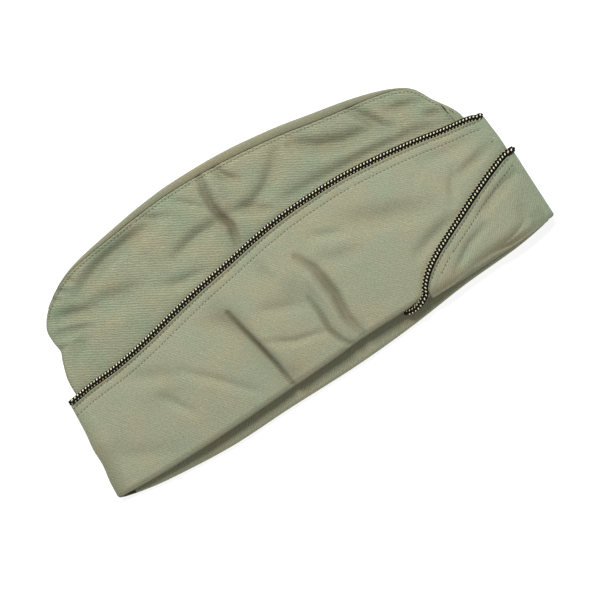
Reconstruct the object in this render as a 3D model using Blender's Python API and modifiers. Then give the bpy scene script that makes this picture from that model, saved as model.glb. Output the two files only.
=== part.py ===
# Garrison cap lying flat on its left side, in metres, with the floor at z = 0.
# +X runs from the back fold to the front fold, +Y from the base edge to the top of the crown,
# and +Z away from the floor. The wearer's right side is the upper one.

import math

import bmesh
import bpy
import numpy as np

for old in list(bpy.data.objects):
    bpy.data.objects.remove(old, do_unlink=True)

# Driving dimensions
LENGTH = 0.287          # base edge, from the back fold to the front fold
HEIGHT = 0.130          # base line to the top of the crown
FAR_DROP = 0.0105       # how far the under side's base edge shows past the upper one
RISE = 0.0170           # upper curtain above the floor, at the middle of the cap
CLOTH = 0.0011          # one wall of twill with its backing
LAYER_GAP = 0.0006      # air between two walls that lie on each other
FOLD_ROOM = 0.0024      # space left inside the front fold
CORD = 0.0034           # diameter of the piping
CORD_GAP = 0.0003       # piping to the cloth that it is sewn to
HEM = 0.018             # height of the curtain's turned-in part
TURN_UNDER = 0.0045     # what the right curtain's end reaches past the front fold
TOP_STRIP = 0.0058      # widest part of the top strip that shows on the upper side
TOP_STRIP_UNDER = 0.003     # and on the under side
SEAM_GAP = 0.0005       # between two panels that are sewn edge to edge
CREASE_GAP = 0.0012     # between two panels that are sewn along a fold
CREASE_ROOM = 0.0012    # space left inside the crown's folds
CORD_INSET = 0.0014     # from the curtain's folded edge in to the middle of its cord
FLAP_CORD_INSET = 0.0004    # the same where the flap's cord goes round the front fold
CURL_END = 0.653        # where the flap's cord ends under the base edge, of LENGTH
CURL_START = 0.706      # and where it starts to turn round that edge
CURL_TURN = 142         # degrees that it turns
FLAP_SET_BACK = 0.014   # the flap's cloth starts this far past its edge's end, of LENGTH
FOOT_START = 0.20       # the crown panels' hidden lower edges, from here, of LENGTH
FOOT_SPAN = 0.60        # and this long

# Worked out from them
STEP = CLOTH + LAYER_GAP
LAP = CORD / 2 + CORD_GAP
HEM_TURN = (3 * CLOTH + 2 * LAYER_GAP) / 2
FLAP_TURN = HEM_TURN + STEP
BACK_RISE = 2 * STEP + FOLD_ROOM
FRONT_RISE = 3 * STEP + FOLD_ROOM
OVER_CORD = CORD + 2 * CORD_GAP
PLAIN_TURN = 1.25 * CLOTH       # a base edge that is turned without a hem
FOOT_RISE = 2.6 * HEM_TURN      # the crown panels stop this far above the base edges
EDGE_LIFT = 0.3 * CORD          # the piping holds the curtain's edge up
EDGE_LIFT_REACH = 3 * CORD
CENTRE = (LENGTH / 2, (HEIGHT - FAR_DROP) / 2)

# Every table holds shares: along is of LENGTH and up is of HEIGHT, or of FAR_DROP in FAR_BASE.

# Outline of the crown: along, up. It starts inside the back fold and ends inside the front one.
CROWN_OUTLINE = (
    (0.040, 0.040), (0.040, 0.230), (0.041, 0.460), (0.043, 0.538), (0.053, 0.615),
    (0.060, 0.655), (0.057, 0.708), (0.061, 0.773), (0.092, 0.851), (0.162, 0.928),
    (0.280, 0.973), (0.350, 0.992), (0.418, 1.000), (0.523, 0.992), (0.627, 0.962),
    (0.707, 0.926), (0.781, 0.891), (0.837, 0.856), (0.880, 0.816), (0.906, 0.772),
    (0.926, 0.692), (0.948, 0.615), (0.956, 0.555), (0.958, 0.460), (0.958, 0.230),
    (0.958, 0.040),
)
# Width of the top strip: place along the outline, share of its full width
TOP_STRIP_WIDTH = ((0.0, 0.0), (0.25, 0.0), (0.33, 0.55), (0.42, 0.80), (0.55, 1.0),
                   (0.66, 0.95), (0.76, 0.40), (0.81, 0.0), (1.0, 0.0))
# Back edge of the curtain: up, along
CURTAIN_BACK = ((0.0, 0.0), (0.077, 0.003), (0.154, 0.009), (0.231, 0.010), (0.308, 0.015),
                (0.446, 0.020))
# Front fold of the right curtain, as a share of LENGTH short of the left curtain's fold
CURTAIN_FRONT = ((0.0, 0.0), (0.25, 0.0), (0.32, 0.003), (0.40, 0.003), (0.50, 0.006))
# Ends of the body of the cap, for its rise: up, along of the back edge, along of the front one
BODY_ENDS = ((0.0, 0.0, 1.0), (0.154, 0.009, 1.0), (0.35, 0.016, 1.0), (0.46, 0.025, 0.990),
             (0.56, 0.043, 0.970), (0.62, 0.052, 0.950), (0.73, 0.062, 0.918), (1.0, 0.064, 0.912))
# Centre line of the piping on the upper side: along, up
PIPING_RIGHT = ((0.0, 0.449), (0.030, 0.449), (0.070, 0.461), (0.139, 0.470), (0.209, 0.492),
                (0.279, 0.524), (0.348, 0.554), (0.418, 0.578), (0.488, 0.604), (0.557, 0.622),
                (0.627, 0.628), (0.697, 0.625), (0.767, 0.609), (0.836, 0.588), (0.906, 0.559),
                (0.955, 0.543), (0.980, 0.529), (1.0, 0.527))
# Centre line of the piping on the under side
PIPING_LEFT = ((0.0, 0.449), (0.030, 0.449), (0.174, 0.485), (0.348, 0.569), (0.523, 0.608),
               (0.627, 0.600), (0.767, 0.554), (0.889, 0.462), (0.950, 0.365), (0.980, 0.332), (1.0, 0.332))
# Centre line of the piping along the flap's edge
FLAP_EDGE = ((0.700, 0.018), (0.732, 0.090), (0.767, 0.139), (0.801, 0.174), (0.836, 0.208),
             (0.871, 0.243), (0.906, 0.275), (0.941, 0.305), (0.980, 0.332), (1.0, 0.332))
# Base edges: along, up. The far one is in shares of FAR_DROP.
NEAR_BASE = ((0.0, 0.0), (0.115, -0.014), (0.244, -0.016), (0.369, -0.010), (0.498, -0.002),
             (0.564, 0.006), (0.650, 0.006), (0.710, 0.002), (0.800, -0.003), (0.930, 0.0),
             (1.0, 0.014))
FAR_BASE = ((0.0, 0.0), (0.052, -0.38), (0.115, -0.67), (0.244, -0.99), (0.373, -0.97),
            (0.530, -1.0), (0.659, -0.84), (0.787, -0.52), (0.906, -0.37), (0.970, -0.15),
            (1.0, 0.05))
# Dents and folds of the upper side: along and up of both ends, width of LENGTH, depth of RISE
CURTAIN_DENTS = (
    (0.372, 0.420, 0.402, 0.020, 0.020, 0.100),
    (0.516, 0.280, 0.530, 0.030, 0.016, 0.060),
    (0.545, 0.430, 0.562, 0.040, 0.018, 0.090),
    (0.655, 0.460, 0.800, 0.325, 0.030, 0.080),
    (0.980, 0.420, 0.850, 0.340, 0.018, 0.050),
    (0.240, 0.300, 0.335, 0.060, 0.026, 0.040),
)
CROWN_DENTS = (
    (0.466, 0.940, 0.458, 0.620, 0.016, 0.080),
    (0.498, 0.940, 0.530, 0.840, 0.016, 0.060),
    (0.345, 0.720, 0.455, 0.745, 0.020, 0.080),
    (0.490, 0.735, 0.610, 0.860, 0.022, 0.090),
    (0.150, 0.815, 0.330, 0.895, 0.022, 0.110),
    (0.650, 0.845, 0.790, 0.720, 0.022, 0.110),
    (0.778, 0.840, 0.825, 0.685, 0.018, 0.080),
    (0.090, 0.775, 0.160, 0.725, 0.020, 0.070),
    (0.590, 0.672, 0.930, 0.570, 0.022, 0.070),
)

# How far the body takes to rise from its edges, as shares of LENGTH
BACK_REACH = 0.26
FRONT_REACH = 0.30
TOP_REACH = 0.17
TOP_FALL = 0.26         # share of the rise that is lost at the top edge
BASE_FALL = 0.16        # and at the base edge
BASE_REACH = 0.30       # of HEIGHT
SEAM_LEVEL = 0.45       # where the crown's edge lies between its two sides
FOLD_ROUND = 0.012      # rounding of the crown's folds, of LENGTH
TOP_ROUND = 0.042       # rounding of the top edge, of LENGTH
HEM_ENDS = 0.066        # the turned-in part stops this far from the folds, of LENGTH
FLAP_HEM_END = 0.090    # the same for the flap, which turns round two more walls
FLAP_TIP = 0.745        # the flap is too low to be turned in behind this place, of LENGTH
OVER_PIPING = (0.19, 0.28)      # the right curtain's end climbs the flap's cord here, of HEIGHT
LOWER_CLIMB = (0.08, 0.25)      # and the lower crown panel the lower curtain's, of HEIGHT

# Rows of the sheets
OUTER_ROWS = (1.0, 0.96, 0.86, 0.72, 0.58, 0.44, 0.30, 0.17, 0.08, 0.0)
TURN_ROWS = (45, 90, 135, 180)
INNER_ROWS = (0.5, 1.0)
CROWN_ROWS = (0.0, 0.004, 0.018, 0.045, 0.10, 0.18, 0.27, 0.38, 0.51, 0.66, 0.82, 1.0)
CROWN_COLUMNS = 40
COLUMN_POINTS = 20      # points of the outline from one column to the next
BACK_TURNS = (0, 30, 60, 90)
FRONT_TURNS = (90, 60, 30, 0, -30, -60, -90)
RIGHT_FLATS = 34
LEFT_FLATS = 26
FLAP_COLUMNS = 12
RIGHT_CORD_POINTS = 36
LEFT_CORD_POINTS = 32
FLAP_CORD_POINTS = 16
CURL_POINTS = 8
CORD_ROUND = 2


def ease(x):
    """Rise from 0 to 1 that is steep first and flat at the end."""
    x = min(max(x, 0.0), 1.0)
    return 1 - (1 - x) ** 2


def quarter(x):
    """Height of a quarter round at x of its radius."""
    x = min(max(x, 0.0), 1.0)
    return math.sqrt(1 - (1 - x) ** 2)


def blend(x, start, end):
    """Smooth step from 0 at start to 1 at end."""
    x = min(max((x - start) / (end - start), 0.0), 1.0)
    return x * x * (3 - 2 * x)


def read(table, x, column=1):
    """Smooth curve through a column of a table whose first column is x."""
    xs = [row[0] for row in table]
    ys = [row[column] for row in table]
    x = min(max(x, xs[0]), xs[-1])
    i = min(max(int(np.searchsorted(xs, x)) - 1, 0), len(xs) - 2)

    def slope(k):
        a, b = max(k - 1, 0), min(k + 1, len(xs) - 1)
        return (ys[b] - ys[a]) / (xs[b] - xs[a])

    h = xs[i + 1] - xs[i]
    t = (x - xs[i]) / h
    return ((1 + 2 * t) * (1 - t) ** 2 * ys[i] + t * (1 - t) ** 2 * h * slope(i)
            + t * t * (3 - 2 * t) * ys[i + 1] + t * t * (t - 1) * h * slope(i + 1))


def up_of(table, u):
    return read(table, u / LENGTH) * HEIGHT


def far_base(u):
    return read(FAR_BASE, u / LENGTH) * FAR_DROP


def flap_base(u):
    """The flap's base edge goes round the right curtain's."""
    return up_of(NEAR_BASE, u) - STEP


def smooth_outline(points, count):
    """Evenly spaced points on a smooth curve through the given ones."""
    pts = np.array(points)
    ext = np.vstack([2 * pts[0] - pts[1], pts, 2 * pts[-1] - pts[-2]])
    fine = []
    for i in range(1, len(ext) - 2):
        for t in np.linspace(0, 1, 16, endpoint=False):
            a, b, c, d = ext[i - 1:i + 3]
            fine.append(0.5 * (2 * b + (c - a) * t + (2 * a - 5 * b + 4 * c - d) * t * t
                               + (3 * b - a - 3 * c + d) * t ** 3))
    fine = np.array(fine + [pts[-1]])
    run = np.concatenate([[0], np.cumsum(np.hypot(*np.diff(fine, axis=0).T))])
    at = np.linspace(0, run[-1], count)
    return np.column_stack([np.interp(at, run, fine[:, 0]), np.interp(at, run, fine[:, 1])])


OUTLINE = smooth_outline([(a * LENGTH, b * HEIGHT) for a, b in CROWN_OUTLINE],
                         COLUMN_POINTS * CROWN_COLUMNS + 1)


def inward(i):
    """Unit vector from the crown's outline towards its middle, at point i."""
    a = OUTLINE[max(i - COLUMN_POINTS, 0)]
    b = OUTLINE[min(i + COLUMN_POINTS, len(OUTLINE) - 1)]
    dx, dy = (b - a) / np.hypot(*(b - a))
    return np.array([dy, -dx])


def from_outline(u, v):
    """Distance in from the crown's outline, and the share of the top strip's width there."""
    gaps = np.hypot(OUTLINE[:, 0] - u, OUTLINE[:, 1] - v)
    i = int(gaps.argmin())
    return float(gaps[i]), max(read(TOP_STRIP_WIDTH, i / (len(OUTLINE) - 1)), 0.0)


def top_of(u):
    near = np.abs(OUTLINE[:, 0] - u) < LENGTH / 60
    return float(OUTLINE[near, 1].max()) if near.any() else HEIGHT / 2


def dents(table, u, v):
    """Sum of the valleys of a table at a point; each fades out at its two ends."""
    total = 0.0
    for u0, v0, u1, v1, width, depth in table:
        a = np.array([u0 * LENGTH, v0 * HEIGHT])
        b = np.array([u1 * LENGTH, v1 * HEIGHT])
        run = b - a
        t = float(np.clip(np.dot(np.array([u, v]) - a, run) / np.dot(run, run), 0, 1))
        gap = math.hypot(*(a + t * run - np.array([u, v]))) / (width * LENGTH)
        total += depth * RISE * math.exp(-gap * gap) * (0.35 + 0.65 * math.sin(math.pi * t))
    return total


def body(u, v):
    """Height of the upper curtain's outer face, and of its smooth continuation above it."""
    back = read(BODY_ENDS, v / HEIGHT, 1) * LENGTH
    front = read(BODY_ENDS, v / HEIGHT, 2) * LENGTH
    ends = BACK_RISE + (FRONT_RISE - BACK_RISE) * u / LENGTH
    rise = ease((u - back) / (BACK_REACH * LENGTH)) * ease((front - u) / (FRONT_REACH * LENGTH))
    rise *= 1 - TOP_FALL * (1 - ease((top_of(u) - v) / (TOP_REACH * LENGTH)))
    rise *= 1 - BASE_FALL * (1 - ease(v / (BASE_REACH * HEIGHT)))
    under_curtain = 1 - blend(v - up_of(PIPING_RIGHT, u), -3 * CORD, 3 * CORD)
    height = (ends + (RISE - ends) * rise - dents(CURTAIN_DENTS, u, v) * under_curtain
              - dents(CROWN_DENTS, u, v) * (1 - under_curtain))
    least = crown_floor(u, v) + STEP + 2 * CLOTH + CREASE_ROOM
    least -= (least - ends) * (1 - blend(u / LENGTH, 0.0, 0.04)) * (1 - blend(v, 0.0, CORD))
    return (height + least + math.hypot(height - least, CREASE_ROOM)) / 2


def crown_floor(u, v):
    """Height of the lower crown panel's outer face: over the curtain and its piping, then down."""
    past = v - up_of(PIPING_LEFT, u)
    rise = STEP + (OVER_CORD - STEP) * blend(v / HEIGHT, *LOWER_CLIMB)
    return rise * (1 - blend(past, 2 * CORD, 12 * CORD))


def crown_side(u, v, side, seam=CREASE_GAP / 2):
    """Height of a crown panel's outer face. side is +1 for the upper panel, -1 for the lower."""
    top = body(u, v) - STEP
    low = crown_floor(u, v)
    middle = low + (top - low) * SEAM_LEVEL
    inside, share = from_outline(u, v)
    if side > 0:
        reach = (FOLD_ROUND + (TOP_ROUND - FOLD_ROUND) * share) * LENGTH
        start = middle + seam
        return start + (top - start) * quarter(inside / reach)
    reach = (FOLD_ROUND + (TOP_ROUND / 2 - FOLD_ROUND) * share) * LENGTH
    start = middle - seam
    return start - (start - low) * quarter(inside / reach)


def material(name, colour, roughness):
    mat = bpy.data.materials.new(name)
    mat.use_nodes = True
    shader = mat.node_tree.nodes["Principled BSDF"]
    shader.inputs["Base Color"].default_value = (*colour, 1)
    shader.inputs["Roughness"].default_value = roughness
    shader.inputs["Metallic"].default_value = 0.0
    return mat


def sheet(name, columns, rows, place, mat, keep=None, flip=False):
    """Grid moved to its place point by point, with a wall of cloth grown inwards from it."""
    bm = bmesh.new()
    bmesh.ops.create_grid(bm, x_segments=columns - 1, y_segments=rows - 1, size=1)
    index = {}
    for vert in bm.verts:
        i = round((vert.co.x + 1) / 2 * (columns - 1))
        j = round((vert.co.y + 1) / 2 * (rows - 1))
        index[vert] = (i, j)
        x, y, z = place(i, j)
        vert.co = (x - CENTRE[0], y - CENTRE[1], z)
    if keep:
        gone = [f for f in bm.faces if not all(keep(*index[vert]) for vert in f.verts)]
        bmesh.ops.delete(bm, geom=gone, context="FACES")
    if flip:
        bmesh.ops.reverse_faces(bm, faces=bm.faces)
    mesh = bpy.data.meshes.new(name)
    bm.to_mesh(mesh)
    bm.free()
    mesh.shade_smooth()
    obj = bpy.data.objects.new(name, mesh)
    cap.objects.link(obj)
    obj.data.materials.append(mat)
    wall = obj.modifiers.new("wall", "SOLIDIFY")
    wall.thickness = CLOTH
    wall.offset = -1
    wall.use_even_offset = True
    return obj


def cord(name, points, mat):
    """Round cord through the points, with closed ends."""
    curve = bpy.data.curves.new(name, "CURVE")
    curve.dimensions = "3D"
    curve.bevel_depth = CORD / 2
    curve.bevel_resolution = CORD_ROUND
    curve.use_fill_caps = True
    spline = curve.splines.new("POLY")
    spline.points.add(len(points) - 1)
    for point, (x, y, z) in zip(spline.points, points):
        point.co = (x - CENTRE[0], y - CENTRE[1], z, 1)
    obj = bpy.data.objects.new(name, curve)
    cap.objects.link(obj)
    obj.data.materials.append(mat)
    return obj


def crown_columns():
    """Points along the crown's outline, with the width of the top strip at each."""
    columns = []
    for k in range(CROWN_COLUMNS + 1):
        i = COLUMN_POINTS * k
        share = max(read(TOP_STRIP_WIDTH, k / CROWN_COLUMNS), 0.0)
        columns.append((OUTLINE[i], inward(i), share))
    return columns


def crown_panel(name, side, base, mat):
    """Fan of columns from the outline, or from the strip's seam, to the hidden lower edge."""
    columns = crown_columns()
    width = TOP_STRIP if side > 0 else TOP_STRIP_UNDER

    def place(i, j):
        point, normal, share = columns[i]
        edge = point + normal * (share * width + (SEAM_GAP / 2 if share else 0.0))
        along = LENGTH * (FOOT_START + FOOT_SPAN * i / CROWN_COLUMNS)
        foot = np.array([along, base(along)])
        u, v = edge + (foot - edge) * CROWN_ROWS[j]
        return u, v, crown_side(u, v, side)

    return sheet(name, CROWN_COLUMNS + 1, len(CROWN_ROWS), place, mat, flip=side > 0)


def top_strip(name, mat):
    """Strip between the two panels, folded over the top edge, pointed at both ends."""
    columns = [c for c in crown_columns() if c[2] * TOP_STRIP > 3 * SEAM_GAP]
    steps = (1.0, 0.62, 0.30, 0.10, 0.0, -0.15, -0.5, -1.0)

    def place(i, j):
        point, normal, share = columns[i]
        side = 1 if steps[j] >= 0 else -1
        width = TOP_STRIP if side > 0 else TOP_STRIP_UNDER
        depth = abs(steps[j]) * (share * width - SEAM_GAP / 2)
        u, v = point + normal * max(depth, 0.0)
        return u, v, crown_side(u, v, side, seam=0.0)

    return sheet(name, len(columns), len(steps), place, mat)


def fold(edge, facing, centre_z, radius, height, angle, depth):
    """Point on a fold's round, at an angle from its middle plane and a depth inside the cloth."""
    turn = math.radians(angle)
    u = edge - facing * (radius - (radius - depth) * math.cos(turn))
    return u, centre_z + (height - depth) * math.sin(turn)


def rows_of(base, top, turn, hem):
    """Heights and depths of a curtain's rows: outer leaf, turn at the base edge, inner leaf."""
    rows = [(base + turn + share * (top - base - turn), 0.0) for share in OUTER_ROWS]
    for angle in TURN_ROWS:
        phi = math.radians(angle)
        rows.append((base + turn * (1 - math.sin(phi)), turn * (1 - math.cos(phi))))
    return rows + [(base + turn + share * hem, 2 * turn) for share in INNER_ROWS]


CURTAIN_ROWS = len(OUTER_ROWS) + len(TURN_ROWS) + len(INNER_ROWS)
EDGE_ROW = len(OUTER_ROWS) + 1


def edge_drop(table, u):
    """What a sheet stops short of its cord's centre line, measured upwards."""
    nudge = LENGTH / 200
    slope = (up_of(table, u + nudge) - up_of(table, u - nudge)) / (2 * nudge)
    return (LAP + 2 * CORD_GAP) * math.hypot(1, slope)


def near_lift(v, top):
    """The piping holds the curtain's edge up a little."""
    return EDGE_LIFT * blend(v, top - EDGE_LIFT_REACH, top)


def under_curtain_right(v):
    """Height of the right curtain's end under the cap: on the left one, then on its cord."""
    return STEP + (OVER_CORD - STEP) * blend(v / HEIGHT, *OVER_PIPING)


def curtain_right(mat):
    """Upper curtain, from the back seam over the upper side and round the front fold."""
    stations = [("back", a) for a in BACK_TURNS]
    stations += [("flat", k / RIGHT_FLATS) for k in range(1, RIGHT_FLATS)]
    stations += [("front", a) for a in FRONT_TURNS]
    stations += [("under", 0.5), ("under", 1.0)]
    radius_b = BACK_RISE / 2
    radius_f = (FRONT_RISE - STEP) / 2

    def position(kind, value, v, depth):
        back = read(CURTAIN_BACK, v / HEIGHT) * LENGTH
        front = LENGTH * (1 - read(CURTAIN_FRONT, v / HEIGHT)) - STEP
        low = under_curtain_right(v)
        if kind == "back":
            middle = radius_b + CREASE_GAP / 2
            return fold(back, -1, middle, radius_b, body(back + radius_b, v) - middle, value, depth)
        if kind == "flat":
            u = back + radius_b + value * (front - back - radius_b - radius_f)
            return u, body(u, v) - depth
        if kind == "front":
            top = body(front - radius_f, v)
            return fold(front, 1, (top + low) / 2, radius_f, (top - low) / 2, value, depth)
        return front - radius_f - value * TURN_UNDER, low + depth

    def hemmed(i):
        kind, value = stations[i]
        u = position(kind, value, 0.0, 0.0)[0]
        return kind == "flat" and HEM_ENDS * LENGTH < u < (1 - HEM_ENDS) * LENGTH

    def place(i, j):
        kind, value = stations[i]
        u0 = position(kind, value, HEIGHT * 0.25, 0.0)[0]
        base = up_of(NEAR_BASE, u0)
        u1 = position(kind, value, HEIGHT * 0.5, 0.0)[0]
        top = up_of(PIPING_RIGHT, u1) - edge_drop(PIPING_RIGHT, u1)
        turn = HEM_TURN if hemmed(i) else PLAIN_TURN
        v, depth = rows_of(base, top, turn, HEM)[j]
        u, z = position(kind, value, v, depth)
        lift = near_lift(v, top) if kind == "flat" and depth == 0 else 0.0
        return u, v, z + lift

    def keep(i, j):
        return j <= EDGE_ROW or hemmed(i)

    return sheet("curtain_right", len(stations), CURTAIN_ROWS, place, mat, keep, flip=True)


def curtain_left(mat):
    """Lower curtain: under the cap, round the front fold and back over it as the flap."""
    stations = [("back", -a) for a in BACK_TURNS]
    stations += [("flat", k / LEFT_FLATS) for k in range(1, LEFT_FLATS)]
    stations += [("front", -a) for a in FRONT_TURNS]
    stations += [("flap", k / FLAP_COLUMNS) for k in range(1, FLAP_COLUMNS + 1)]
    radius_b = BACK_RISE / 2
    radius_f = (FRONT_RISE + STEP) / 2
    flap_end = LENGTH * (FLAP_EDGE[0][0] + FLAP_SET_BACK)

    def position(kind, value, v, depth):
        back = read(CURTAIN_BACK, v / HEIGHT) * LENGTH
        if kind == "back":
            middle = radius_b - CREASE_GAP / 2
            return fold(back, -1, middle, radius_b, middle, value, depth)
        if kind == "flat":
            return back + radius_b + value * (LENGTH - back - radius_b - radius_f), depth
        if kind == "front":
            top = body(LENGTH - radius_f, v) + STEP
            height = top - radius_f if value > 0 else radius_f
            return fold(LENGTH, 1, radius_f, radius_f, height, value, depth)
        u = LENGTH - radius_f - value * (LENGTH - radius_f - flap_end)
        return u, body(u, v) + STEP - depth

    def hemmed(i):
        kind, value = stations[i]
        u = position(kind, value, 0.0, 0.0)[0]
        if kind == "flat":
            return HEM_ENDS * LENGTH < u < (1 - HEM_ENDS) * LENGTH
        return kind == "flap" and FLAP_TIP * LENGTH < u < (1 - FLAP_HEM_END) * LENGTH

    def place(i, j):
        kind, value = stations[i]
        u0 = position(kind, value, HEIGHT * 0.2, 0.0)[0]
        if kind == "flap":
            base = flap_base(u0)
            top = up_of(FLAP_EDGE, u0) - edge_drop(FLAP_EDGE, u0)
            turn = FLAP_TURN if hemmed(i) else PLAIN_TURN
        else:
            base = far_base(u0) if kind != "front" else flap_base(LENGTH)
            top = up_of(PIPING_LEFT, u0) - edge_drop(PIPING_LEFT, u0)
            turn = HEM_TURN if hemmed(i) else PLAIN_TURN
        v, depth = rows_of(base, max(top, base + turn + CLOTH), turn, HEM)[j]
        u, z = position(kind, value, v, depth)
        return u, v, z

    def keep(i, j):
        return j <= EDGE_ROW or hemmed(i)

    return sheet("curtain_left", len(stations), CURTAIN_ROWS, place, mat, keep)


def seat(u, v):
    """Height of a cord's middle where it lies on the upper crown panel beside the curtain."""
    return max(body(u, v + k * CORD / 2) for k in (-1, 0, 1)) - STEP + LAP


def turned(edge, facing, centre_z, radius, height, angles, v):
    """Points of a cord that goes round a fold at one height."""
    points = []
    for angle in angles:
        u, z = fold(edge, facing, centre_z, radius, height, angle, 0.0)
        points.append((u, v, z))
    return points


def piping_right(mat):
    """Cord along the upper curtain's edge, round the front fold to the under side."""
    up = up_of(PIPING_RIGHT, 0.0)
    back = read(CURTAIN_BACK, up / HEIGHT) * LENGTH + CORD_INSET
    radius = BACK_RISE / 2
    top = seat(back + radius, up)
    points = [(back, up, OVER_CORD)]
    middle = OVER_CORD + CORD_GAP
    points += turned(back, -1, middle, radius, top - middle, range(0, 91, 30), up)
    last = up_of(PIPING_RIGHT, LENGTH)
    front = LENGTH * (1 - CURTAIN_FRONT[-1][1]) - STEP - CORD_INSET
    radius_f = (FRONT_RISE - STEP) / 2
    for k in range(1, RIGHT_CORD_POINTS):
        u = back + radius + (front - back - radius - radius_f) * k / RIGHT_CORD_POINTS
        v = up_of(PIPING_RIGHT, u)
        points.append((u, v, seat(u, v)))
    top = seat(front - radius_f, last)
    middle = (top + CORD / 2) / 2
    points += turned(front, 1, middle, radius_f, top - middle, range(90, -91, -30), last)
    points.append((points[-1][0] - TURN_UNDER / 2, last, CORD / 2))
    return cord("piping_right", points, mat)


def piping_left(mat):
    """Cord along the lower curtain's edge, up the flap's diagonal and under the base edge."""
    up = up_of(PIPING_LEFT, 0.0)
    back = read(CURTAIN_BACK, up / HEIGHT) * LENGTH + CORD_INSET
    radius = BACK_RISE / 2
    points = [(back - CORD / 2, up, CORD / 2)]
    front = LENGTH - FLAP_CORD_INSET
    radius_f = (FRONT_RISE + STEP) / 2
    for k in range(LEFT_CORD_POINTS):
        u = back + radius + (front - back - radius - radius_f) * k / LEFT_CORD_POINTS
        points.append((u, up_of(PIPING_LEFT, u), CORD / 2))
    last = up_of(FLAP_EDGE, LENGTH)
    top = body(front - radius_f, last) + LAP
    middle = (top + CORD / 2) / 2
    points += turned(front, 1, middle, radius_f, top - middle, range(-90, 91, 30), last)
    curl = CURL_START * LENGTH
    for k in range(1, FLAP_CORD_POINTS):
        u = front - radius_f + (curl - front + radius_f) * k / FLAP_CORD_POINTS
        v = up_of(FLAP_EDGE, u)
        points.append((u, v, body(u, v) + LAP))
    for k in range(CURL_POINTS + 1):
        u = curl + (CURL_END * LENGTH - curl) * k / CURL_POINTS
        turn = math.radians(CURL_TURN * k / CURL_POINTS)
        v = up_of(NEAR_BASE, u) + HEM_TURN
        z = body(u, v) - HEM_TURN
        points.append((u, v - (HEM_TURN + LAP) * math.sin(turn), z + (HEM_TURN + LAP) * math.cos(turn)))
    return cord("piping_left", points, mat)


cap = bpy.data.collections.new("garrison_cap")
bpy.context.scene.collection.children.link(cap)

crown_cloth = material("crown twill", (0.28, 0.30, 0.20), 0.85)
curtain_cloth = material("curtain twill", (0.33, 0.33, 0.23), 0.85)
strip_cloth = material("strip twill", (0.24, 0.24, 0.17), 0.85)
braid = material("piping braid", (0.06, 0.05, 0.03), 0.55)

crown_panel("crown_right", 1, lambda u: up_of(NEAR_BASE, u) + FOOT_RISE, crown_cloth)
crown_panel("crown_left", -1, lambda u: far_base(u) + FOOT_RISE, crown_cloth)
top_strip("crown_top", strip_cloth)
curtain_right(curtain_cloth)
curtain_left(curtain_cloth)
piping_right(braid)
piping_left(braid)
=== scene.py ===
# %% [markdown]
# # A garrison cap, lying flat
# A garrison cap is all cloth: two crown panels, a narrow strip set between them along the top, and a
# turned-up curtain with a braided cord sewn along its edge. It has no stiffener, so it folds flat, and
# here it lies on its left side. This lesson dresses the solid model of the cap, which is loaded first
# and stays where it is.

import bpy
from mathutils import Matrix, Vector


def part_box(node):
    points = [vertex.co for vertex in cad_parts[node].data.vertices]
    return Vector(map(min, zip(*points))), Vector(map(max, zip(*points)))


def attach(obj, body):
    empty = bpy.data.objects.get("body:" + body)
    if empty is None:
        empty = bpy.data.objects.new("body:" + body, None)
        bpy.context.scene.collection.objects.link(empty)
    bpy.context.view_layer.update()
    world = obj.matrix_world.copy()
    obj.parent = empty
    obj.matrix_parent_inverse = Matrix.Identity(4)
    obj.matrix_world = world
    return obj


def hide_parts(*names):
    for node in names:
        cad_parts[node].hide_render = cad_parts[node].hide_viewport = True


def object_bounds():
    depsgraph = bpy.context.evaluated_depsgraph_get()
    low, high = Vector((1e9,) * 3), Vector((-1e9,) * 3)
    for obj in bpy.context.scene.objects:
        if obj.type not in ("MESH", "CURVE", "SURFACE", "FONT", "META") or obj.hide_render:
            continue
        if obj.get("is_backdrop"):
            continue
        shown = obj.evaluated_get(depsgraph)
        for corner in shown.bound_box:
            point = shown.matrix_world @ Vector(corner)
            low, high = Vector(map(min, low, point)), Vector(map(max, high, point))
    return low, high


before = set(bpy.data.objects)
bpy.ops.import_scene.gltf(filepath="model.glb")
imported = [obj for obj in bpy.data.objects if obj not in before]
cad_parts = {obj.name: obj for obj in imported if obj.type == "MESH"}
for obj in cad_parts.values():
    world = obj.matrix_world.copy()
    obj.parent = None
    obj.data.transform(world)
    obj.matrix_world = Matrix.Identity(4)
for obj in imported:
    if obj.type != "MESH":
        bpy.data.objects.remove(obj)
CAD_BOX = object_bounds()
print("nodes:", ", ".join(sorted(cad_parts)))

# %% [markdown]
# ## The sizes
# Everything is in metres. The cap's length is read from the solid model, so the cloth fits it. The
# other sizes are the cap's own: how thick the twill is, how far two layers lie apart, and how thick the
# cord is. +X runs from the back fold to the front fold, +Y from the base edge up to the crown's top and
# +Z away from the floor. `along` and `up` in the tables are shares of LENGTH and HEIGHT.

# %% Sizes of the cap
import math

import bmesh
import bpy
import numpy as np

MM = 0.001
curtain_low, curtain_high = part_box("curtain_left")
LENGTH = curtain_high.x - curtain_low.x
HEIGHT = 130 * MM  # from the base edge to the top
FAR_DROP = 10.5 * MM  # what shows of the lower curtain past the upper base edge
RISE = 17 * MM  # the upper side's height above the floor
CLOTH = 1.1 * MM
LAYER_GAP = 0.6 * MM
FOLD_ROOM = 2.4 * MM  # space left inside the folds
CORD = 3.4 * MM
CORD_GAP = 0.3 * MM
HEM = 18 * MM  # depth of the turned-in part
TURN_UNDER = 4.5 * MM  # what the upper curtain's end reaches past the front fold
TOP_STRIP = 5.8 * MM  # the strip's width on the upper side
TOP_STRIP_UNDER = 3 * MM  # and on the lower side
SEAM_GAP = 0.4 * MM
CREASE_GAP = 1.2 * MM  # between two panels that are sewn along a fold
CREASE_ROOM = 1.2 * MM  # space left inside the crown's folds
SLIT_GAP = 1.1 * MM  # how far the sprung seam stands open
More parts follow.
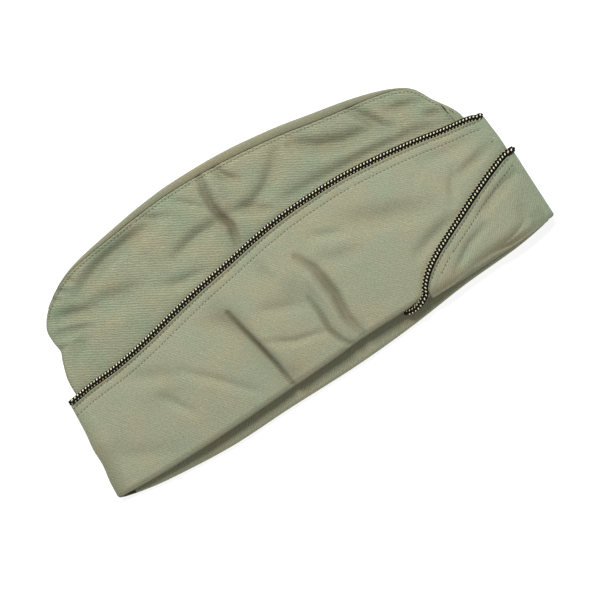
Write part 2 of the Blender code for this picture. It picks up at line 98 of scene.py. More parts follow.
CORD_INSET = 1.4 * MM  # from the curtain's fold in to the middle of its cord
FLAP_CORD_INSET = 0.4 * MM  # the same for the flap's cord

# The lower cord's curl, between two shares of LENGTH, and its turn in degrees
CURL_START = 0.706
CURL_END = 0.653
CURL_TURN = 142

# One layer, how high a cord sits on its seam, the rounding of each fold, and the rise at the two folds
STEP = CLOTH + LAYER_GAP
LAP = CORD / 2 + CORD_GAP / 3
HEM_TURN = (3 * CLOTH + 2 * LAYER_GAP) / 2
FLAP_TURN = HEM_TURN + STEP
PLAIN_TURN = 1.25 * CLOTH
BACK_RISE = 2 * STEP + FOLD_ROOM
FRONT_RISE = 3 * STEP + FOLD_ROOM
OVER_CORD = CORD + 2 * CORD_GAP
CENTRE = (LENGTH / 2, (HEIGHT - FAR_DROP) / 2)
print(f"{LENGTH / MM:.1f} mm long, twill {CLOTH / MM:.1f} mm thick, cord {CORD / MM:.1f} mm thick")

# %% [markdown]
# ## The outlines
# These are the lines that a pattern cutter would draw: the crown's outline, the two base edges, and the
# lines that the cords follow. The solid model is built on the same lines, but for the ends of the top
# strip, so each piece of cloth stays where its solid is. The rise differs a little: here the base edge
# hangs about 3 mm lower, as soft cloth does.

# %% Lines of the pattern
CROWN_OUTLINE = (
    (0.040, 0.040), (0.040, 0.230), (0.041, 0.460), (0.043, 0.538), (0.053, 0.615),
    (0.060, 0.655), (0.057, 0.708), (0.061, 0.773), (0.092, 0.851), (0.162, 0.928),
    (0.280, 0.973), (0.350, 0.992), (0.418, 1.000), (0.523, 0.992), (0.627, 0.962),
    (0.707, 0.926), (0.781, 0.891), (0.837, 0.856), (0.880, 0.816), (0.906, 0.772),
    (0.926, 0.692), (0.948, 0.615), (0.956, 0.555), (0.958, 0.460), (0.958, 0.230),
    (0.958, 0.040),
)
TOP_STRIP_WIDTH = ((0.0, 0.0), (0.215, 0.0), (0.235, 0.06), (0.280, 0.24), (0.330, 0.52), (0.42, 0.80),
                   (0.55, 1.0), (0.66, 0.95), (0.700, 0.78), (0.755, 0.30), (0.780, 0.12), (0.800, 0.10),
                   (0.816, 0.10), (0.824, 0.32), (0.830, 0.62), (0.845, 0.95), (1.0, 1.0))
SLIT = ((0.0, 0.0), (0.808, 0.0), (0.816, 0.6), (0.823, 1.0), (0.829, 0.7), (0.834, 0.0), (1.0, 0.0))
CURTAIN_BACK = ((0.0, 0.0), (0.077, 0.003), (0.154, 0.009), (0.231, 0.010), (0.308, 0.015),
                (0.446, 0.020))
CURTAIN_FRONT = ((0.0, 0.0), (0.25, 0.0), (0.32, 0.003), (0.40, 0.003), (0.50, 0.006))
BODY_ENDS = ((0.0, 0.0, 1.0), (0.154, 0.009, 1.0), (0.35, 0.016, 1.0), (0.46, 0.025, 0.990),
             (0.56, 0.043, 0.970), (0.62, 0.052, 0.950), (0.73, 0.062, 0.918), (1.0, 0.064, 0.912))
PIPING_RIGHT = ((0.0, 0.449), (0.030, 0.449), (0.070, 0.461), (0.139, 0.470), (0.209, 0.492),
                (0.279, 0.524), (0.348, 0.554), (0.418, 0.578), (0.488, 0.604), (0.557, 0.622),
                (0.627, 0.628), (0.697, 0.625), (0.767, 0.609), (0.836, 0.588), (0.906, 0.559),
                (0.955, 0.543), (0.980, 0.529), (1.0, 0.527))
PIPING_LEFT = ((0.0, 0.449), (0.030, 0.449), (0.174, 0.485), (0.348, 0.569), (0.523, 0.608),
               (0.627, 0.600), (0.767, 0.554), (0.889, 0.462), (0.950, 0.365), (0.980, 0.332),
               (1.0, 0.332))
FLAP_EDGE = ((0.700, 0.018), (0.732, 0.090), (0.767, 0.139), (0.801, 0.174), (0.836, 0.208),
             (0.871, 0.243), (0.906, 0.275), (0.941, 0.305), (0.980, 0.332), (1.0, 0.332))
NEAR_BASE = ((0.0, 0.0), (0.115, -0.014), (0.244, -0.016), (0.369, -0.010), (0.498, -0.002),
             (0.564, 0.006), (0.650, 0.006), (0.710, 0.002), (0.800, -0.003), (0.930, 0.0),
             (1.0, 0.014))
FAR_BASE = ((0.0, 0.0), (0.052, -0.38), (0.115, -0.67), (0.244, -0.99), (0.373, -0.97),
            (0.530, -1.0), (0.659, -0.84), (0.787, -0.52), (0.906, -0.37), (0.970, -0.15),
            (1.0, 0.05))

# How far in the cloth rises from each edge, how much it falls again, and where the hems end
BACK_REACH = 0.26
FRONT_REACH = 0.30
TOP_REACH = 0.17
TOP_FALL = 0.26
BASE_FALL = 0.44
BASE_REACH = 0.42
SEAM_LEVEL = 0.45
FOLD_ROUND = 0.012
TOP_ROUND = 0.042
HEM_ENDS = 0.066
FAR_HEM_ENDS = 0.030
FLAP_HEM_END = 0.090
FLAP_TIP = 0.745

# Where one layer climbs on another one's cord, in shares of HEIGHT, and sinks to the floor past it
OVER_PIPING = (0.19, 0.28)
LOWER_CLIMB = (0.08, 0.25)
SINK_PAST_CORD = (2 * CORD, 12 * CORD)
print(len(CROWN_OUTLINE), "points on the crown's outline,", len(PIPING_RIGHT), "on the upper cord's line")

# %% [markdown]
# ## The folds
# Old cotton keeps the folds it was stored with. Each row is one fold of the upper side: its width as a
# share of LENGTH, its depth as a share of RISE, how far its bottom is darkened towards brown, which is
# painted shade in the crease with some soil, and the points that it runs through. A negative depth is a
# ridge. Pressed folds are narrow and darkened deeply, soft dents are wide and darkened little.

# %% Folds of the curtain, the flap and the crown
CURTAIN_FOLDS = (
    (0.0040, 0.200, 1.0, ((0.372, 0.405), (0.378, 0.330), (0.389, 0.210), (0.397, 0.110), (0.403, -0.01))),
    (0.0180, 0.030, 0.35, ((0.330, 0.430), (0.362, 0.400), (0.378, 0.330))),
    (0.0120, -0.075, 0.0, ((0.393, 0.300), (0.411, 0.150), (0.422, 0.020))),
    (0.0200, 0.090, 0.2, ((0.362, 0.440), (0.382, 0.280), (0.396, 0.010))),
    (0.0055, 0.128, 0.7, ((0.516, 0.270), (0.519, 0.190), (0.517, 0.110), (0.527, 0.040), (0.540, 0.008))),
    (0.0085, 0.203, 0.7, ((0.538, 0.440), (0.556, 0.360), (0.563, 0.230), (0.558, 0.120), (0.566, 0.020))),
    (0.0090, -0.098, 0.0, ((0.535, 0.340), (0.541, 0.220), (0.540, 0.060))),
    (0.0220, 0.150, 0.2, ((0.655, 0.455), (0.700, 0.405), (0.750, 0.365), (0.800, 0.325))),
    (0.0140, 0.060, 0.2, ((0.575, 0.380), (0.645, 0.330))),
    (0.0090, 0.100, 0.3, ((0.975, 0.410), (0.935, 0.385), (0.880, 0.365))),
    (0.0080, 0.060, 0.1, ((0.880, 0.400), (0.862, 0.350), (0.845, 0.280))),
    (0.0130, 0.070, 0.1, ((0.960, 0.470), (0.900, 0.470), (0.840, 0.490))),
    (0.0130, 0.128, 0.1, ((0.735, 0.175), (0.780, 0.205), (0.825, 0.228))),
    (0.0100, 0.075, 0.0, ((0.240, 0.300), (0.290, 0.180), (0.335, 0.060))),
    (0.0090, 0.068, 0.0, ((0.180, 0.260), (0.215, 0.130))),
    (0.0160, 0.050, 0.1, ((0.030, 0.170), (0.140, 0.050))),
    (0.0120, 0.040, 0.1, ((0.015, 0.215), (0.070, 0.180))),
    (0.0080, 0.083, 0.1, ((0.405, 0.210), (0.450, 0.150), (0.505, 0.120))),
    (0.0100, 0.075, 0.1, ((0.470, 0.500), (0.474, 0.400))),
    (0.0100, 0.075, 0.0, ((0.585, 0.480), (0.640, 0.420))),
    (0.0120, 0.068, 0.0, ((0.430, 0.330), (0.500, 0.260))),
    (0.0160, 0.075, 0.1, ((0.150, 0.400), (0.230, 0.300))),
    (0.0300, 0.020, 0.25, ((0.455, 0.330), (0.500, 0.330), (0.545, 0.280))),
    (0.0220, 0.020, 0.25, ((0.405, 0.060), (0.440, 0.040))),
    (0.0200, 0.020, 0.20, ((0.165, 0.265), (0.215, 0.255))),
)
FLAP_FOLDS = (
    (0.0100, 0.105, 0.2, ((0.990, 0.250), (0.930, 0.215), (0.880, 0.180))),
    (0.0080, 0.075, 0.2, ((0.775, 0.028), (0.832, 0.099), (0.875, 0.125))),
    (0.0160, 0.075, 0.1, ((0.960, 0.120), (0.940, 0.040))),
    (0.0120, 0.090, 0.3, ((0.985, 0.045), (0.900, 0.015), (0.820, 0.012))),
)
CROWN_FOLDS = (
    (0.0075, 0.180, 0.7, ((0.466, 0.945), (0.459, 0.880), (0.456, 0.820), (0.460, 0.760), (0.468, 0.705),
                          (0.458, 0.620))),
    (0.0100, -0.083, 0.0, ((0.481, 0.930), (0.478, 0.800))),
    (0.0085, 0.150, 0.2, ((0.498, 0.945), (0.508, 0.890), (0.524, 0.850))),
    (0.0130, 0.158, 0.1, ((0.345, 0.715), (0.400, 0.745), (0.455, 0.745))),
    (0.0130, 0.150, 0.1, ((0.480, 0.740), (0.530, 0.735), (0.560, 0.760), (0.595, 0.815), (0.615, 0.865))),
    (0.0100, 0.120, 0.2, ((0.505, 0.735), (0.545, 0.675))),
    (0.0150, 0.217, 0.2, ((0.650, 0.845), (0.690, 0.785), (0.735, 0.745), (0.790, 0.720))),
    (0.0110, 0.188, 0.2, ((0.778, 0.840), (0.797, 0.775), (0.815, 0.705), (0.825, 0.685))),
    (0.0090, 0.105, 0.2, ((0.840, 0.755), (0.870, 0.735), (0.895, 0.715))),
    (0.0140, 0.165, 0.1, ((0.590, 0.672), (0.680, 0.655), (0.760, 0.640), (0.850, 0.612), (0.930, 0.570))),
    (0.0150, 0.217, 0.2, ((0.150, 0.815), (0.185, 0.845), (0.230, 0.875), (0.290, 0.890), (0.340, 0.895))),
    (0.0130, 0.165, 0.2, ((0.090, 0.775), (0.120, 0.755), (0.160, 0.725))),
    (0.0090, 0.135, 0.2, ((0.062, 0.715), (0.100, 0.700), (0.135, 0.675))),
    (0.0110, 0.150, 0.2, ((0.070, 0.595), (0.090, 0.615), (0.112, 0.645))),
    (0.0050, 0.150, 0.8, ((0.056, 0.676), (0.074, 0.660))),
    (0.0160, 0.105, 0.0, ((0.150, 0.755), (0.210, 0.720), (0.270, 0.690))),
    (0.0160, 0.090, 0.0, ((0.170, 0.695), (0.240, 0.655))),
    (0.0200, 0.090, 0.0, ((0.285, 0.920), (0.288, 0.800), (0.290, 0.700))),
    (0.0050, 0.083, 0.2, ((0.098, 0.865), (0.112, 0.835))),
    (0.0050, 0.083, 0.2, ((0.118, 0.880), (0.132, 0.850))),
    (0.0050, 0.068, 0.1, ((0.145, 0.895), (0.155, 0.870))),
    (0.0080, 0.060, 0.0, ((0.330, 0.940), (0.380, 0.870))),
    (0.0080, 0.068, 0.0, ((0.395, 0.935), (0.440, 0.830))),
    (0.0120, 0.090, 0.0, ((0.380, 0.600), (0.320, 0.620), (0.290, 0.650))),
    (0.0200, 0.020, 0.3, ((0.452, 0.770), (0.462, 0.700), (0.472, 0.650))),
    (0.0080, 0.120, 0.3, ((0.895, 0.655), (0.925, 0.625))),
)
print(len(CURTAIN_FOLDS) + len(FLAP_FOLDS) + len(CROWN_FOLDS), "folds and ridges")

# %% [markdown]
# ## Curves and blends
# A few small functions read the tables as smooth curves. They all work on whole arrays, so a sheet with
# forty thousand points is placed at once.

# %% Smooth curves through the tables
def ease(x):
    x = np.clip(x, 0, 1)
    return 1 - (1 - x) ** 2


def quarter(x):
    return np.sqrt(1 - (1 - np.clip(x, 0, 1)) ** 2)


def blend(x, start, end):
    x = np.clip((x - start) / (end - start), 0, 1)
    return x * x * (3 - 2 * x)


def read(table, x, column=1):
    rows = np.array(table)
    xs, ys = rows[:, 0], rows[:, column]
    last = len(xs) - 1
    before = np.maximum(np.arange(last + 1) - 1, 0)
    after = np.minimum(np.arange(last + 1) + 1, last)
    slopes = (ys[after] - ys[before]) / (xs[after] - xs[before])
    x = np.clip(x, xs[0], xs[-1])
    i = np.clip(np.searchsorted(xs, x) - 1, 0, last - 1)
    h = xs[i + 1] - xs[i]
    t = (x - xs[i]) / h
    return ((1 + 2 * t) * (1 - t) ** 2 * ys[i] + t * (1 - t) ** 2 * h * slopes[i]
            + t * t * (3 - 2 * t) * ys[i + 1] + t * t * (t - 1) * h * slopes[i + 1])


def up_of(table, u):
    return read(table, u / LENGTH) * HEIGHT


def far_base(u):
    return read(FAR_BASE, u / LENGTH) * FAR_DROP


def flap_base(u):
    return up_of(NEAR_BASE, u) - STEP


def slope_of(table, u):
    nudge = LENGTH / 200
    return (up_of(table, u + nudge) - up_of(table, u - nudge)) / (2 * nudge)


# %% [markdown]
# ## The crown's edge
# The crown's edge turns back on itself at both ends, so it can't be read as a height over its length. It is
# a curve through the outline's points instead, cut into even steps, with its inward direction at each one.

# %% The crown's outline as a smooth curve
OUTLINE_POINTS = 801
LAST = OUTLINE_POINTS - 1
CURVE_STEPS = 16
DIRECTION_REACH = 20
TOP_STEPS = 288


def smooth_outline(points, count):
    pts = np.array(points)
    ext = np.vstack([2 * pts[0] - pts[1], pts, 2 * pts[-1] - pts[-2]])
    fine = []
    for i in range(1, len(ext) - 2):
        for t in np.linspace(0, 1, CURVE_STEPS, endpoint=False):
            a, b, c, d = ext[i - 1:i + 3]
            fine.append(0.5 * (2 * b + (c - a) * t + (2 * a - 5 * b + 4 * c - d) * t * t
                               + (3 * b - a - 3 * c + d) * t ** 3))
    fine = np.array(fine + [pts[-1]])
    run = np.concatenate([[0], np.cumsum(np.hypot(*np.diff(fine, axis=0).T))])
    at = np.linspace(0, run[-1], count)
    return np.column_stack([np.interp(at, run, fine[:, 0]), np.interp(at, run, fine[:, 1])])


OUTLINE = smooth_outline([(a * LENGTH, b * HEIGHT) for a, b in CROWN_OUTLINE], OUTLINE_POINTS)
OUTLINE_LENGTH = np.hypot(*np.diff(OUTLINE, axis=0).T).sum()
number = np.arange(OUTLINE_POINTS)
ahead = OUTLINE[np.minimum(number + DIRECTION_REACH, LAST)] - OUTLINE[np.maximum(number - DIRECTION_REACH, 0)]
ahead = ahead / np.linalg.norm(ahead, axis=1)[:, None]
INWARD = np.column_stack([ahead[:, 1], -ahead[:, 0]])
STRIP_SHARE = np.maximum(read(TOP_STRIP_WIDTH, np.linspace(0, 1, OUTLINE_POINTS)), 0)
SLIT_SHARE = np.maximum(read(SLIT, np.linspace(0, 1, OUTLINE_POINTS)), 0)
TOP_AT = np.linspace(0, LENGTH, TOP_STEPS)
TOPS = np.array([OUTLINE[np.abs(OUTLINE[:, 0] - u) < LENGTH / 60, 1].max(initial=0) for u in TOP_AT])
TOPS = np.where(TOPS > 0, TOPS, HEIGHT / 2)
print(f"outline {OUTLINE_LENGTH / MM:.0f} mm round the crown")


def from_outline(u, v):
    """Distance of each point from the outline, and the top strip's share of its width there."""
    flat = np.column_stack([np.ravel(u), np.ravel(v)])
    gaps, shares = [], []
    for part in np.array_split(flat, max(len(flat) // 4000, 1)):
        d = np.hypot(part[:, :1] - OUTLINE[None, :, 0], part[:, 1:] - OUTLINE[None, :, 1])
        nearest = d.argmin(axis=1)
        gaps.append(d[np.arange(len(part)), nearest])
        shares.append(STRIP_SHARE[nearest])
    return np.concatenate(gaps).reshape(np.shape(u)), np.concatenate(shares).reshape(np.shape(u))


# %% [markdown]
# ## How the cap lies
# One height function gives the upper side of the whole cap: it rises from the two folds, falls a little
# towards the top and the base edge, and is dented by the folds above. Every layer is this height less
# the layers on top of it, so the layers nest in each other as real cloth does. A slow random crumple,
# the same on each run, keeps the cloth from looking pressed.

# %% Crumple, folds and height
CELLS = 64
lattice = np.random.default_rng(11).standard_normal((4, CELLS, CELLS))
# Size of each crumple in metres and its height in mm
CRUMPLES = ((34 * MM, 0.30), (15 * MM, 0.20), (6 * MM, 0.07))

# How much deeper all folds are than the tables say, and the crown's again, how wide their painted crease
# shade and soil is, what is left of a fold at its ends, and how far the back corner reaches
FOLD_DEPTH = 1.15
CROWN_DEPTH = 1.35
SHADE_AND_SOIL_WIDTH = 0.9
FADE_LEAST = 0.25
BACK_CORNER = 0.04


def crumple(u, v, size, layer):
    """Smooth random waves of one size, about one unit high."""
    x, y = np.asarray(u) / size + 20, np.asarray(v) / size + 20
    i, j = np.floor(x).astype(int), np.floor(y).astype(int)
    fx, fy = x - i, y - j
    fx, fy = fx * fx * (3 - 2 * fx), fy * fy * (3 - 2 * fy)
    grid = lattice[layer]
    i0, i1, j0, j1 = i % CELLS, (i + 1) % CELLS, j % CELLS, (j + 1) % CELLS
    a, b, c, d = grid[i0, j0], grid[i1, j0], grid[i0, j1], grid[i1, j1]
    return a + (b - a) * fx + (c - a) * fy + (a - b - c + d) * fx * fy


def fold_lines(table, u, v):
    """Depth of a table's folds at each point, and how far painted crease shade and soil darken the cloth
    there.
    """
    u, v = np.broadcast_arrays(u, v)
    depth, shade_and_soil = np.zeros(u.shape), np.zeros(u.shape)
    for width, deep, crease_shade_and_soil, points in table:
        pts = np.array(points) * (LENGTH, HEIGHT)
        near = np.full(u.shape, 1.0)
        at = np.zeros(u.shape)
        lengths = np.hypot(*np.diff(pts, axis=0).T)
        done = 0.0
        for (a, b), length in zip(zip(pts[:-1], pts[1:]), lengths):
            t = np.clip(((u - a[0]) * (b[0] - a[0]) + (v - a[1]) * (b[1] - a[1])) / length ** 2, 0, 1)
            gap = np.hypot(u - a[0] - t * (b[0] - a[0]), v - a[1] - t * (b[1] - a[1]))
            closer = gap < near
            near = np.where(closer, gap, near)
            at = np.where(closer, (done + t * length) / lengths.sum(), at)
            done += length
        fade = FADE_LEAST + (1 - FADE_LEAST) * np.sin(np.pi * np.clip(0.08 + 0.84 * at, 0, 1))
        shape = np.exp(-(near / (width * LENGTH)) ** 2) * fade
        depth += FOLD_DEPTH * deep * RISE * shape
        # Painted crease shade, with some soil, along the bottom of each fold
        shade_and_soil += crease_shade_and_soil * np.exp(-(near / (SHADE_AND_SOIL_WIDTH * width * LENGTH)) ** 2) * fade
    return depth, shade_and_soil


def crown_floor(u, v):
    """Height of the under side of the crown: over the lower curtain, then sinking to the floor."""
    past = v - up_of(PIPING_LEFT, u)
    rise = STEP + (OVER_CORD - STEP) * blend(v / HEIGHT, *LOWER_CLIMB)
    return rise * (1 - blend(past, *SINK_PAST_CORD))


def body(u, v):
    """Height of the cap's upper side, where the upper curtain's outer face lies."""
    u, v = np.asarray(u, float), np.asarray(v, float)
    back = read(BODY_ENDS, v / HEIGHT, 1) * LENGTH
    front = read(BODY_ENDS, v / HEIGHT, 2) * LENGTH
    ends = BACK_RISE + (FRONT_RISE - BACK_RISE) * u / LENGTH
    rise = ease((u - back) / (BACK_REACH * LENGTH)) * ease((front - u) / (FRONT_REACH * LENGTH))
    rise = rise * (1 - TOP_FALL * (1 - ease((np.interp(u, TOP_AT, TOPS) - v) / (TOP_REACH * LENGTH))))
    rise = rise * (1 - BASE_FALL * (1 - ease(v / (BASE_REACH * HEIGHT))))
    curtain = 1 - blend(v - up_of(PIPING_RIGHT, u), -3 * CORD, 3 * CORD)
    soft = sum(high * crumple(u, v, size, layer) for layer, (size, high) in enumerate(CRUMPLES))
    dents = fold_lines(CURTAIN_FOLDS, u, v)[0] * curtain
    crown_dents = CROWN_DEPTH * fold_lines(CROWN_FOLDS, u, v)[0] * (1 - curtain)
    height = (ends + (RISE - ends) * rise + soft * MM * np.sqrt(np.clip(rise, 0, 1))
              - dents - crown_dents)
    least = crown_floor(u, v) + STEP + 2 * CLOTH + CREASE_ROOM
    least = least - (least - ends) * (1 - blend(u / LENGTH, 0.0, BACK_CORNER)) * (1 - blend(v, 0.0, CORD))
    return (height + least + np.hypot(height - least, CREASE_ROOM)) / 2


def crown_side(u, v, side, seam=CREASE_GAP / 2):
    """Height of the crown's upper side, 1, or lower side, -1: both close round the outline."""
    top = body(u, v) - STEP
    low = crown_floor(u, v)
    middle = low + (top - low) * SEAM_LEVEL
    inside, share = from_outline(u, v)
    if side > 0:
        reach = (FOLD_ROUND + (TOP_ROUND - FOLD_ROUND) * share) * LENGTH
        start = middle + seam
        return start + (top - start) * quarter(inside / reach)
    reach = (FOLD_ROUND + (TOP_ROUND / 2 - FOLD_ROUND) * share) * LENGTH
    start = middle - seam
    return start - (start - low) * quarter(inside / reach)


print(f"the cap stands {body(LENGTH / 2, HEIGHT / 2) / MM:.1f} mm high at its middle")

# %% [markdown]
# ## Small helpers
# Three functions that the pieces and materials below share: one clears the selection before a new
# primitive is added, one turns a colour code into the linear values that shaders take, and one adds a
# node with its settings and links.

# %% Helpers for objects and materials
def deselect():
    if bpy.context.mode != "OBJECT":
        bpy.ops.object.mode_set(mode="OBJECT")
    bpy.ops.object.select_all(action="DESELECT")


def linear(code):
    """sRGB hex code to the linear colour that shaders take."""
    parts = [int(code[k:k + 2], 16) / 255 for k in (1, 3, 5)]
    return tuple(c / 12.92 if c <= 0.04045 else ((c + 0.055) / 1.055) ** 2.4 for c in parts) + (1.0,)


def node(tree, kind, links=None, **settings):
    """Add one node; settings name its properties or inputs, links name the sockets that feed it."""
    made = tree.nodes.new(kind)
    for key, value in settings.items():
        if key.startswith("in_"):
            name = key[3:]
            made.inputs[int(name) if name.isdigit() else name.replace("_", " ")].default_value = value
        else:
            setattr(made, key, value)
    for target, source in (links or {}).items():
        tree.links.new(source, made.inputs[target])
    return made


print("sRGB #808080 is", round(linear("#808080")[0], 3), "in linear light")

# %% [markdown]
# ## Floor
# The cap lies on white card. A matt plane that also glows a little stays white beside the cloth, as paper
# does in strong light, and still takes a faint shadow.

# %% Floor
deselect()
bpy.ops.mesh.primitive_plane_add(size=4, location=(0, 0, -0.1 * MM))
floor = bpy.context.object
floor.name = "floor"
floor_paint = bpy.data.materials.new("floor_white_paper")
floor_paint.use_nodes = True
shader = floor_paint.node_tree.nodes["Principled BSDF"]
shader.inputs["Base Color"].default_value = linear("#dcdcdc")
shader.inputs["Roughness"].default_value = 0.95
shader.inputs["Specular IOR Level"].default_value = 0.1
shader.inputs["Emission Color"].default_value = linear("#ffffff")
shader.inputs["Emission Strength"].default_value = 0.68
floor.data.materials.append(floor_paint)
floor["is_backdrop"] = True
print("floor", [round(d, 2) for d in floor.dimensions])

# %% [markdown]
# ## Camera
# The cap is shown from straight above, turned so that its base edge rises to the right. A long lens
# keeps it free of perspective. PHOTO_WIDTH is how much of the floor the frame shows from side to side.

# %% Camera
PHOTO_WIDTH = 330.8 * MM
PHOTO_TURN = -32.93
LENS = 85
SENSOR = 36
AIM = (0.1 * MM, -22.65 * MM)
EDGE_LEVEL = 5 * MM
deselect()
bpy.ops.object.camera_add(
    location=(AIM[0], AIM[1], EDGE_LEVEL + PHOTO_WIDTH * LENS / SENSOR),
    rotation=(0, 0, math.radians(PHOTO_TURN)))
camera = bpy.context.object
camera.data.lens = LENS
camera.data.sensor_width = SENSOR
camera.data.clip_end = 10
bpy.context.scene.camera = camera
print("camera", [round(c, 3) for c in camera.location])

# %% [markdown]
# ## Light
# The main soft light comes from beyond the crown's top, half way up the sky, so the folds are shaded on
# the side towards the base edge. A broader, weaker one from the other side and a white surround lighten
# those shadows, as by a large window in a white room.

# %% Light
LIGHT_REACH = 1.6


def soft_light(name, direction, height, size, power):
    """Square light at a compass direction, in degrees from +X, tilted to face the cap."""
    deselect()
    angle = math.radians(direction)
    level = math.radians(height)
    away = LIGHT_REACH * math.cos(level)
    bpy.ops.object.light_add(
        type="AREA",
        location=(away * math.cos(angle), away * math.sin(angle), LIGHT_REACH * math.sin(level)),
        rotation=(0, math.radians(90 - height), angle))
    light = bpy.context.object
    light.name = name
    light.data.shape = "SQUARE"
    light.data.size = size
    light.data.energy = power


soft_light("window", direction=88, height=51, size=0.6, power=25)
soft_light("fill", direction=-80, height=40, size=1.2, power=6)
world = bpy.data.worlds.new("white_surround")
bpy.context.scene.world = world
world.use_nodes = True
world.node_tree.nodes["Background"].inputs["Color"].default_value = linear("#ffffff")
world.node_tree.nodes["Background"].inputs["Strength"].default_value = 0.22
bpy.context.scene.view_settings.view_transform = "Standard"
print("two soft lights and a white surround")

# %% [markdown]
# ## Cotton twill
# The cap is khaki cotton twill, woven so that each thread passes over two and under one, a step further
# each time. That gives the fine diagonal lines. The yarn is matt and slightly hairy, so the cloth has
# almost no gloss and a weak sheen. After years of wear it has turned greenish in some places and
# brownish in others. The bottoms of the pressed folds and the cloth's edges are darkened towards brown:
# painted shade, with some real soil in the folds. The real lines lie about 0.6 mm apart, which is too
# fine to show here, so they are drawn about twice as far apart. The pattern reads the piece's own UV
# map, which is in metres along the cloth, and two attributes of the sheet: how far painted shade and
# soil darken each point, and how far it has faded to green.

# %% Material of the twill
# The brown that painted shade and soil mix the cloth towards, and how far they may mix it
SHADE_AND_SOIL_BROWN = "#4c3a19"
SHADE_AND_SOIL_STRENGTH = 0.72
FADED_GREEN = "#7e9279"
TWILL_LOOK = {"Roughness": 0.88, "Specular IOR Level": 0.25, "Sheen Weight": 0.12, "Sheen Roughness": 0.6}


def twill(name, green, beige, line_angle, line_gap, line_share, strength):
    """Angle of the twill lines in degrees, their gap in mm, their share of the weave and its contrast."""
    mat = bpy.data.materials.new(name)
    mat.use_nodes = True
    tree = mat.node_tree
    shader = tree.nodes["Principled BSDF"]
    uv = node(tree, "ShaderNodeUVMap", uv_map="cloth")
    along = node(tree, "ShaderNodeMapping", {"Vector": uv.outputs["UV"]},
                 in_Rotation=(0, 0, math.radians(-line_angle)))
    in_mm = node(tree, "ShaderNodeMapping", {"Vector": along.outputs["Vector"]}, in_Scale=(1000, 1000, 1000))

    # Bands of the wave texture lie a 0.314th of the scale apart, and X of the turned map runs along a line
    across = node(tree, "ShaderNodeMapping", {"Vector": in_mm.outputs["Vector"]},
                  in_Rotation=(0, 0, math.radians(90)))
    lines = node(tree, "ShaderNodeTexWave", {"Vector": across.outputs["Vector"]}, wave_type="BANDS",
                 bands_direction="X", in_Scale=0.314 / line_gap, in_Distortion=4.5, in_Detail=3.0,
                 in_Detail_Scale=0.9)
    long_way = node(tree, "ShaderNodeMapping", {"Vector": in_mm.outputs["Vector"]}, in_Scale=(0.22, 0.9, 1))
    breaks = node(tree, "ShaderNodeTexNoise", {"Vector": long_way.outputs["Vector"]}, in_Scale=1.0,
                  in_Detail=2.0, in_Roughness=0.6)
    yarn = node(tree, "ShaderNodeTexNoise", {"Vector": in_mm.outputs["Vector"]}, in_Scale=1.1, in_Detail=4.0,
                in_Roughness=0.8)
    weave = node(tree, "ShaderNodeMath", {0: lines.outputs["Fac"], 1: breaks.outputs["Fac"]},
                 operation="MULTIPLY")
    weave = node(tree, "ShaderNodeMath", {0: weave.outputs[0]}, operation="MULTIPLY", in_1=line_share)
    weave = node(tree, "ShaderNodeMath", {0: yarn.outputs["Fac"], 2: weave.outputs[0]},
                 operation="MULTIPLY_ADD", in_1=1.7)
    shade = node(tree, "ShaderNodeMapRange", {"Value": weave.outputs[0]},
                 in_From_Min=0.50 + 0.12 * line_share, in_From_Max=1.20 + 0.38 * line_share,
                 in_To_Min=1 - 0.42 * strength, in_To_Max=1 + 0.38 * strength)

    patches = node(tree, "ShaderNodeTexNoise", {"Vector": in_mm.outputs["Vector"]}, in_Scale=0.040,
                   in_Detail=5.0, in_Roughness=0.6)
    wear_tone_and_edge_shade = node(tree, "ShaderNodeMapRange", {"Value": patches.outputs["Fac"]}, in_From_Min=0.36,
                in_From_Max=0.64)
    cloth = node(tree, "ShaderNodeMix", {0: wear_tone_and_edge_shade.outputs[0]}, data_type="RGBA", in_6=linear(green),
                 in_7=linear(beige))
    # Painted shade in the creases, at the edges and beside the back seam, some real soil in the folds, and
    # the strip's darkening, all mixed in towards brown
    shade_and_soil = node(tree, "ShaderNodeAttribute", attribute_name="shade_and_soil")
    shaded_and_soiled = node(tree, "ShaderNodeMath", {0: shade_and_soil.outputs["Fac"]}, operation="MULTIPLY",
                  in_1=SHADE_AND_SOIL_STRENGTH, use_clamp=True)
    cloth = node(tree, "ShaderNodeMix", {0: shaded_and_soiled.outputs[0], 6: cloth.outputs[2]}, data_type="RGBA",
                 in_7=linear(SHADE_AND_SOIL_BROWN))
    fading = node(tree, "ShaderNodeAttribute", attribute_name="faded")
    cloth = node(tree, "ShaderNodeMix", {0: fading.outputs["Fac"], 6: cloth.outputs[2]}, data_type="RGBA",
                 in_7=linear(FADED_GREEN))
    cloth = node(tree, "ShaderNodeVectorMath", {0: cloth.outputs[2], "Scale": shade.outputs[0]},
                 operation="SCALE")
    tree.links.new(cloth.outputs[0], shader.inputs["Base Color"])

    bump = node(tree, "ShaderNodeBump", {"Height": weave.outputs[0]}, in_Strength=0.5, in_Distance=0.08 * MM)
    tree.links.new(bump.outputs["Normal"], shader.inputs["Normal"])
    for socket, value in TWILL_LOOK.items():
        shader.inputs[socket].default_value = value
    return mat


CROWN_TWILL = twill("khaki_twill_crown", "#8a947a", "#99967a", -31, 1.35, 0.9, 1.0)
CURTAIN_TWILL = twill("khaki_twill_curtain", "#979e84", "#a19e82", -48, 1.2, 0.45, 0.9)
STRIP_TWILL = twill("khaki_twill_strip", "#8a947a", "#99967a", -10, 1.2, 0.6, 0.9)
print("three cuts of twill")

# %% [markdown]
# ## Sheets of cloth
# A sheet starts as a flat grid with as many points as its folds need. Its points are moved to their
# places by the height function, which is what pressing and folding does to real cloth, and a Solidify
# modifier then gives it the thickness of twill. An operator would have to be applied fold by fold and
# would lose the nesting of the layers.

# %% Grid to sheet
FRONT_FADING = 0.55
BACK_FADING = 0.40


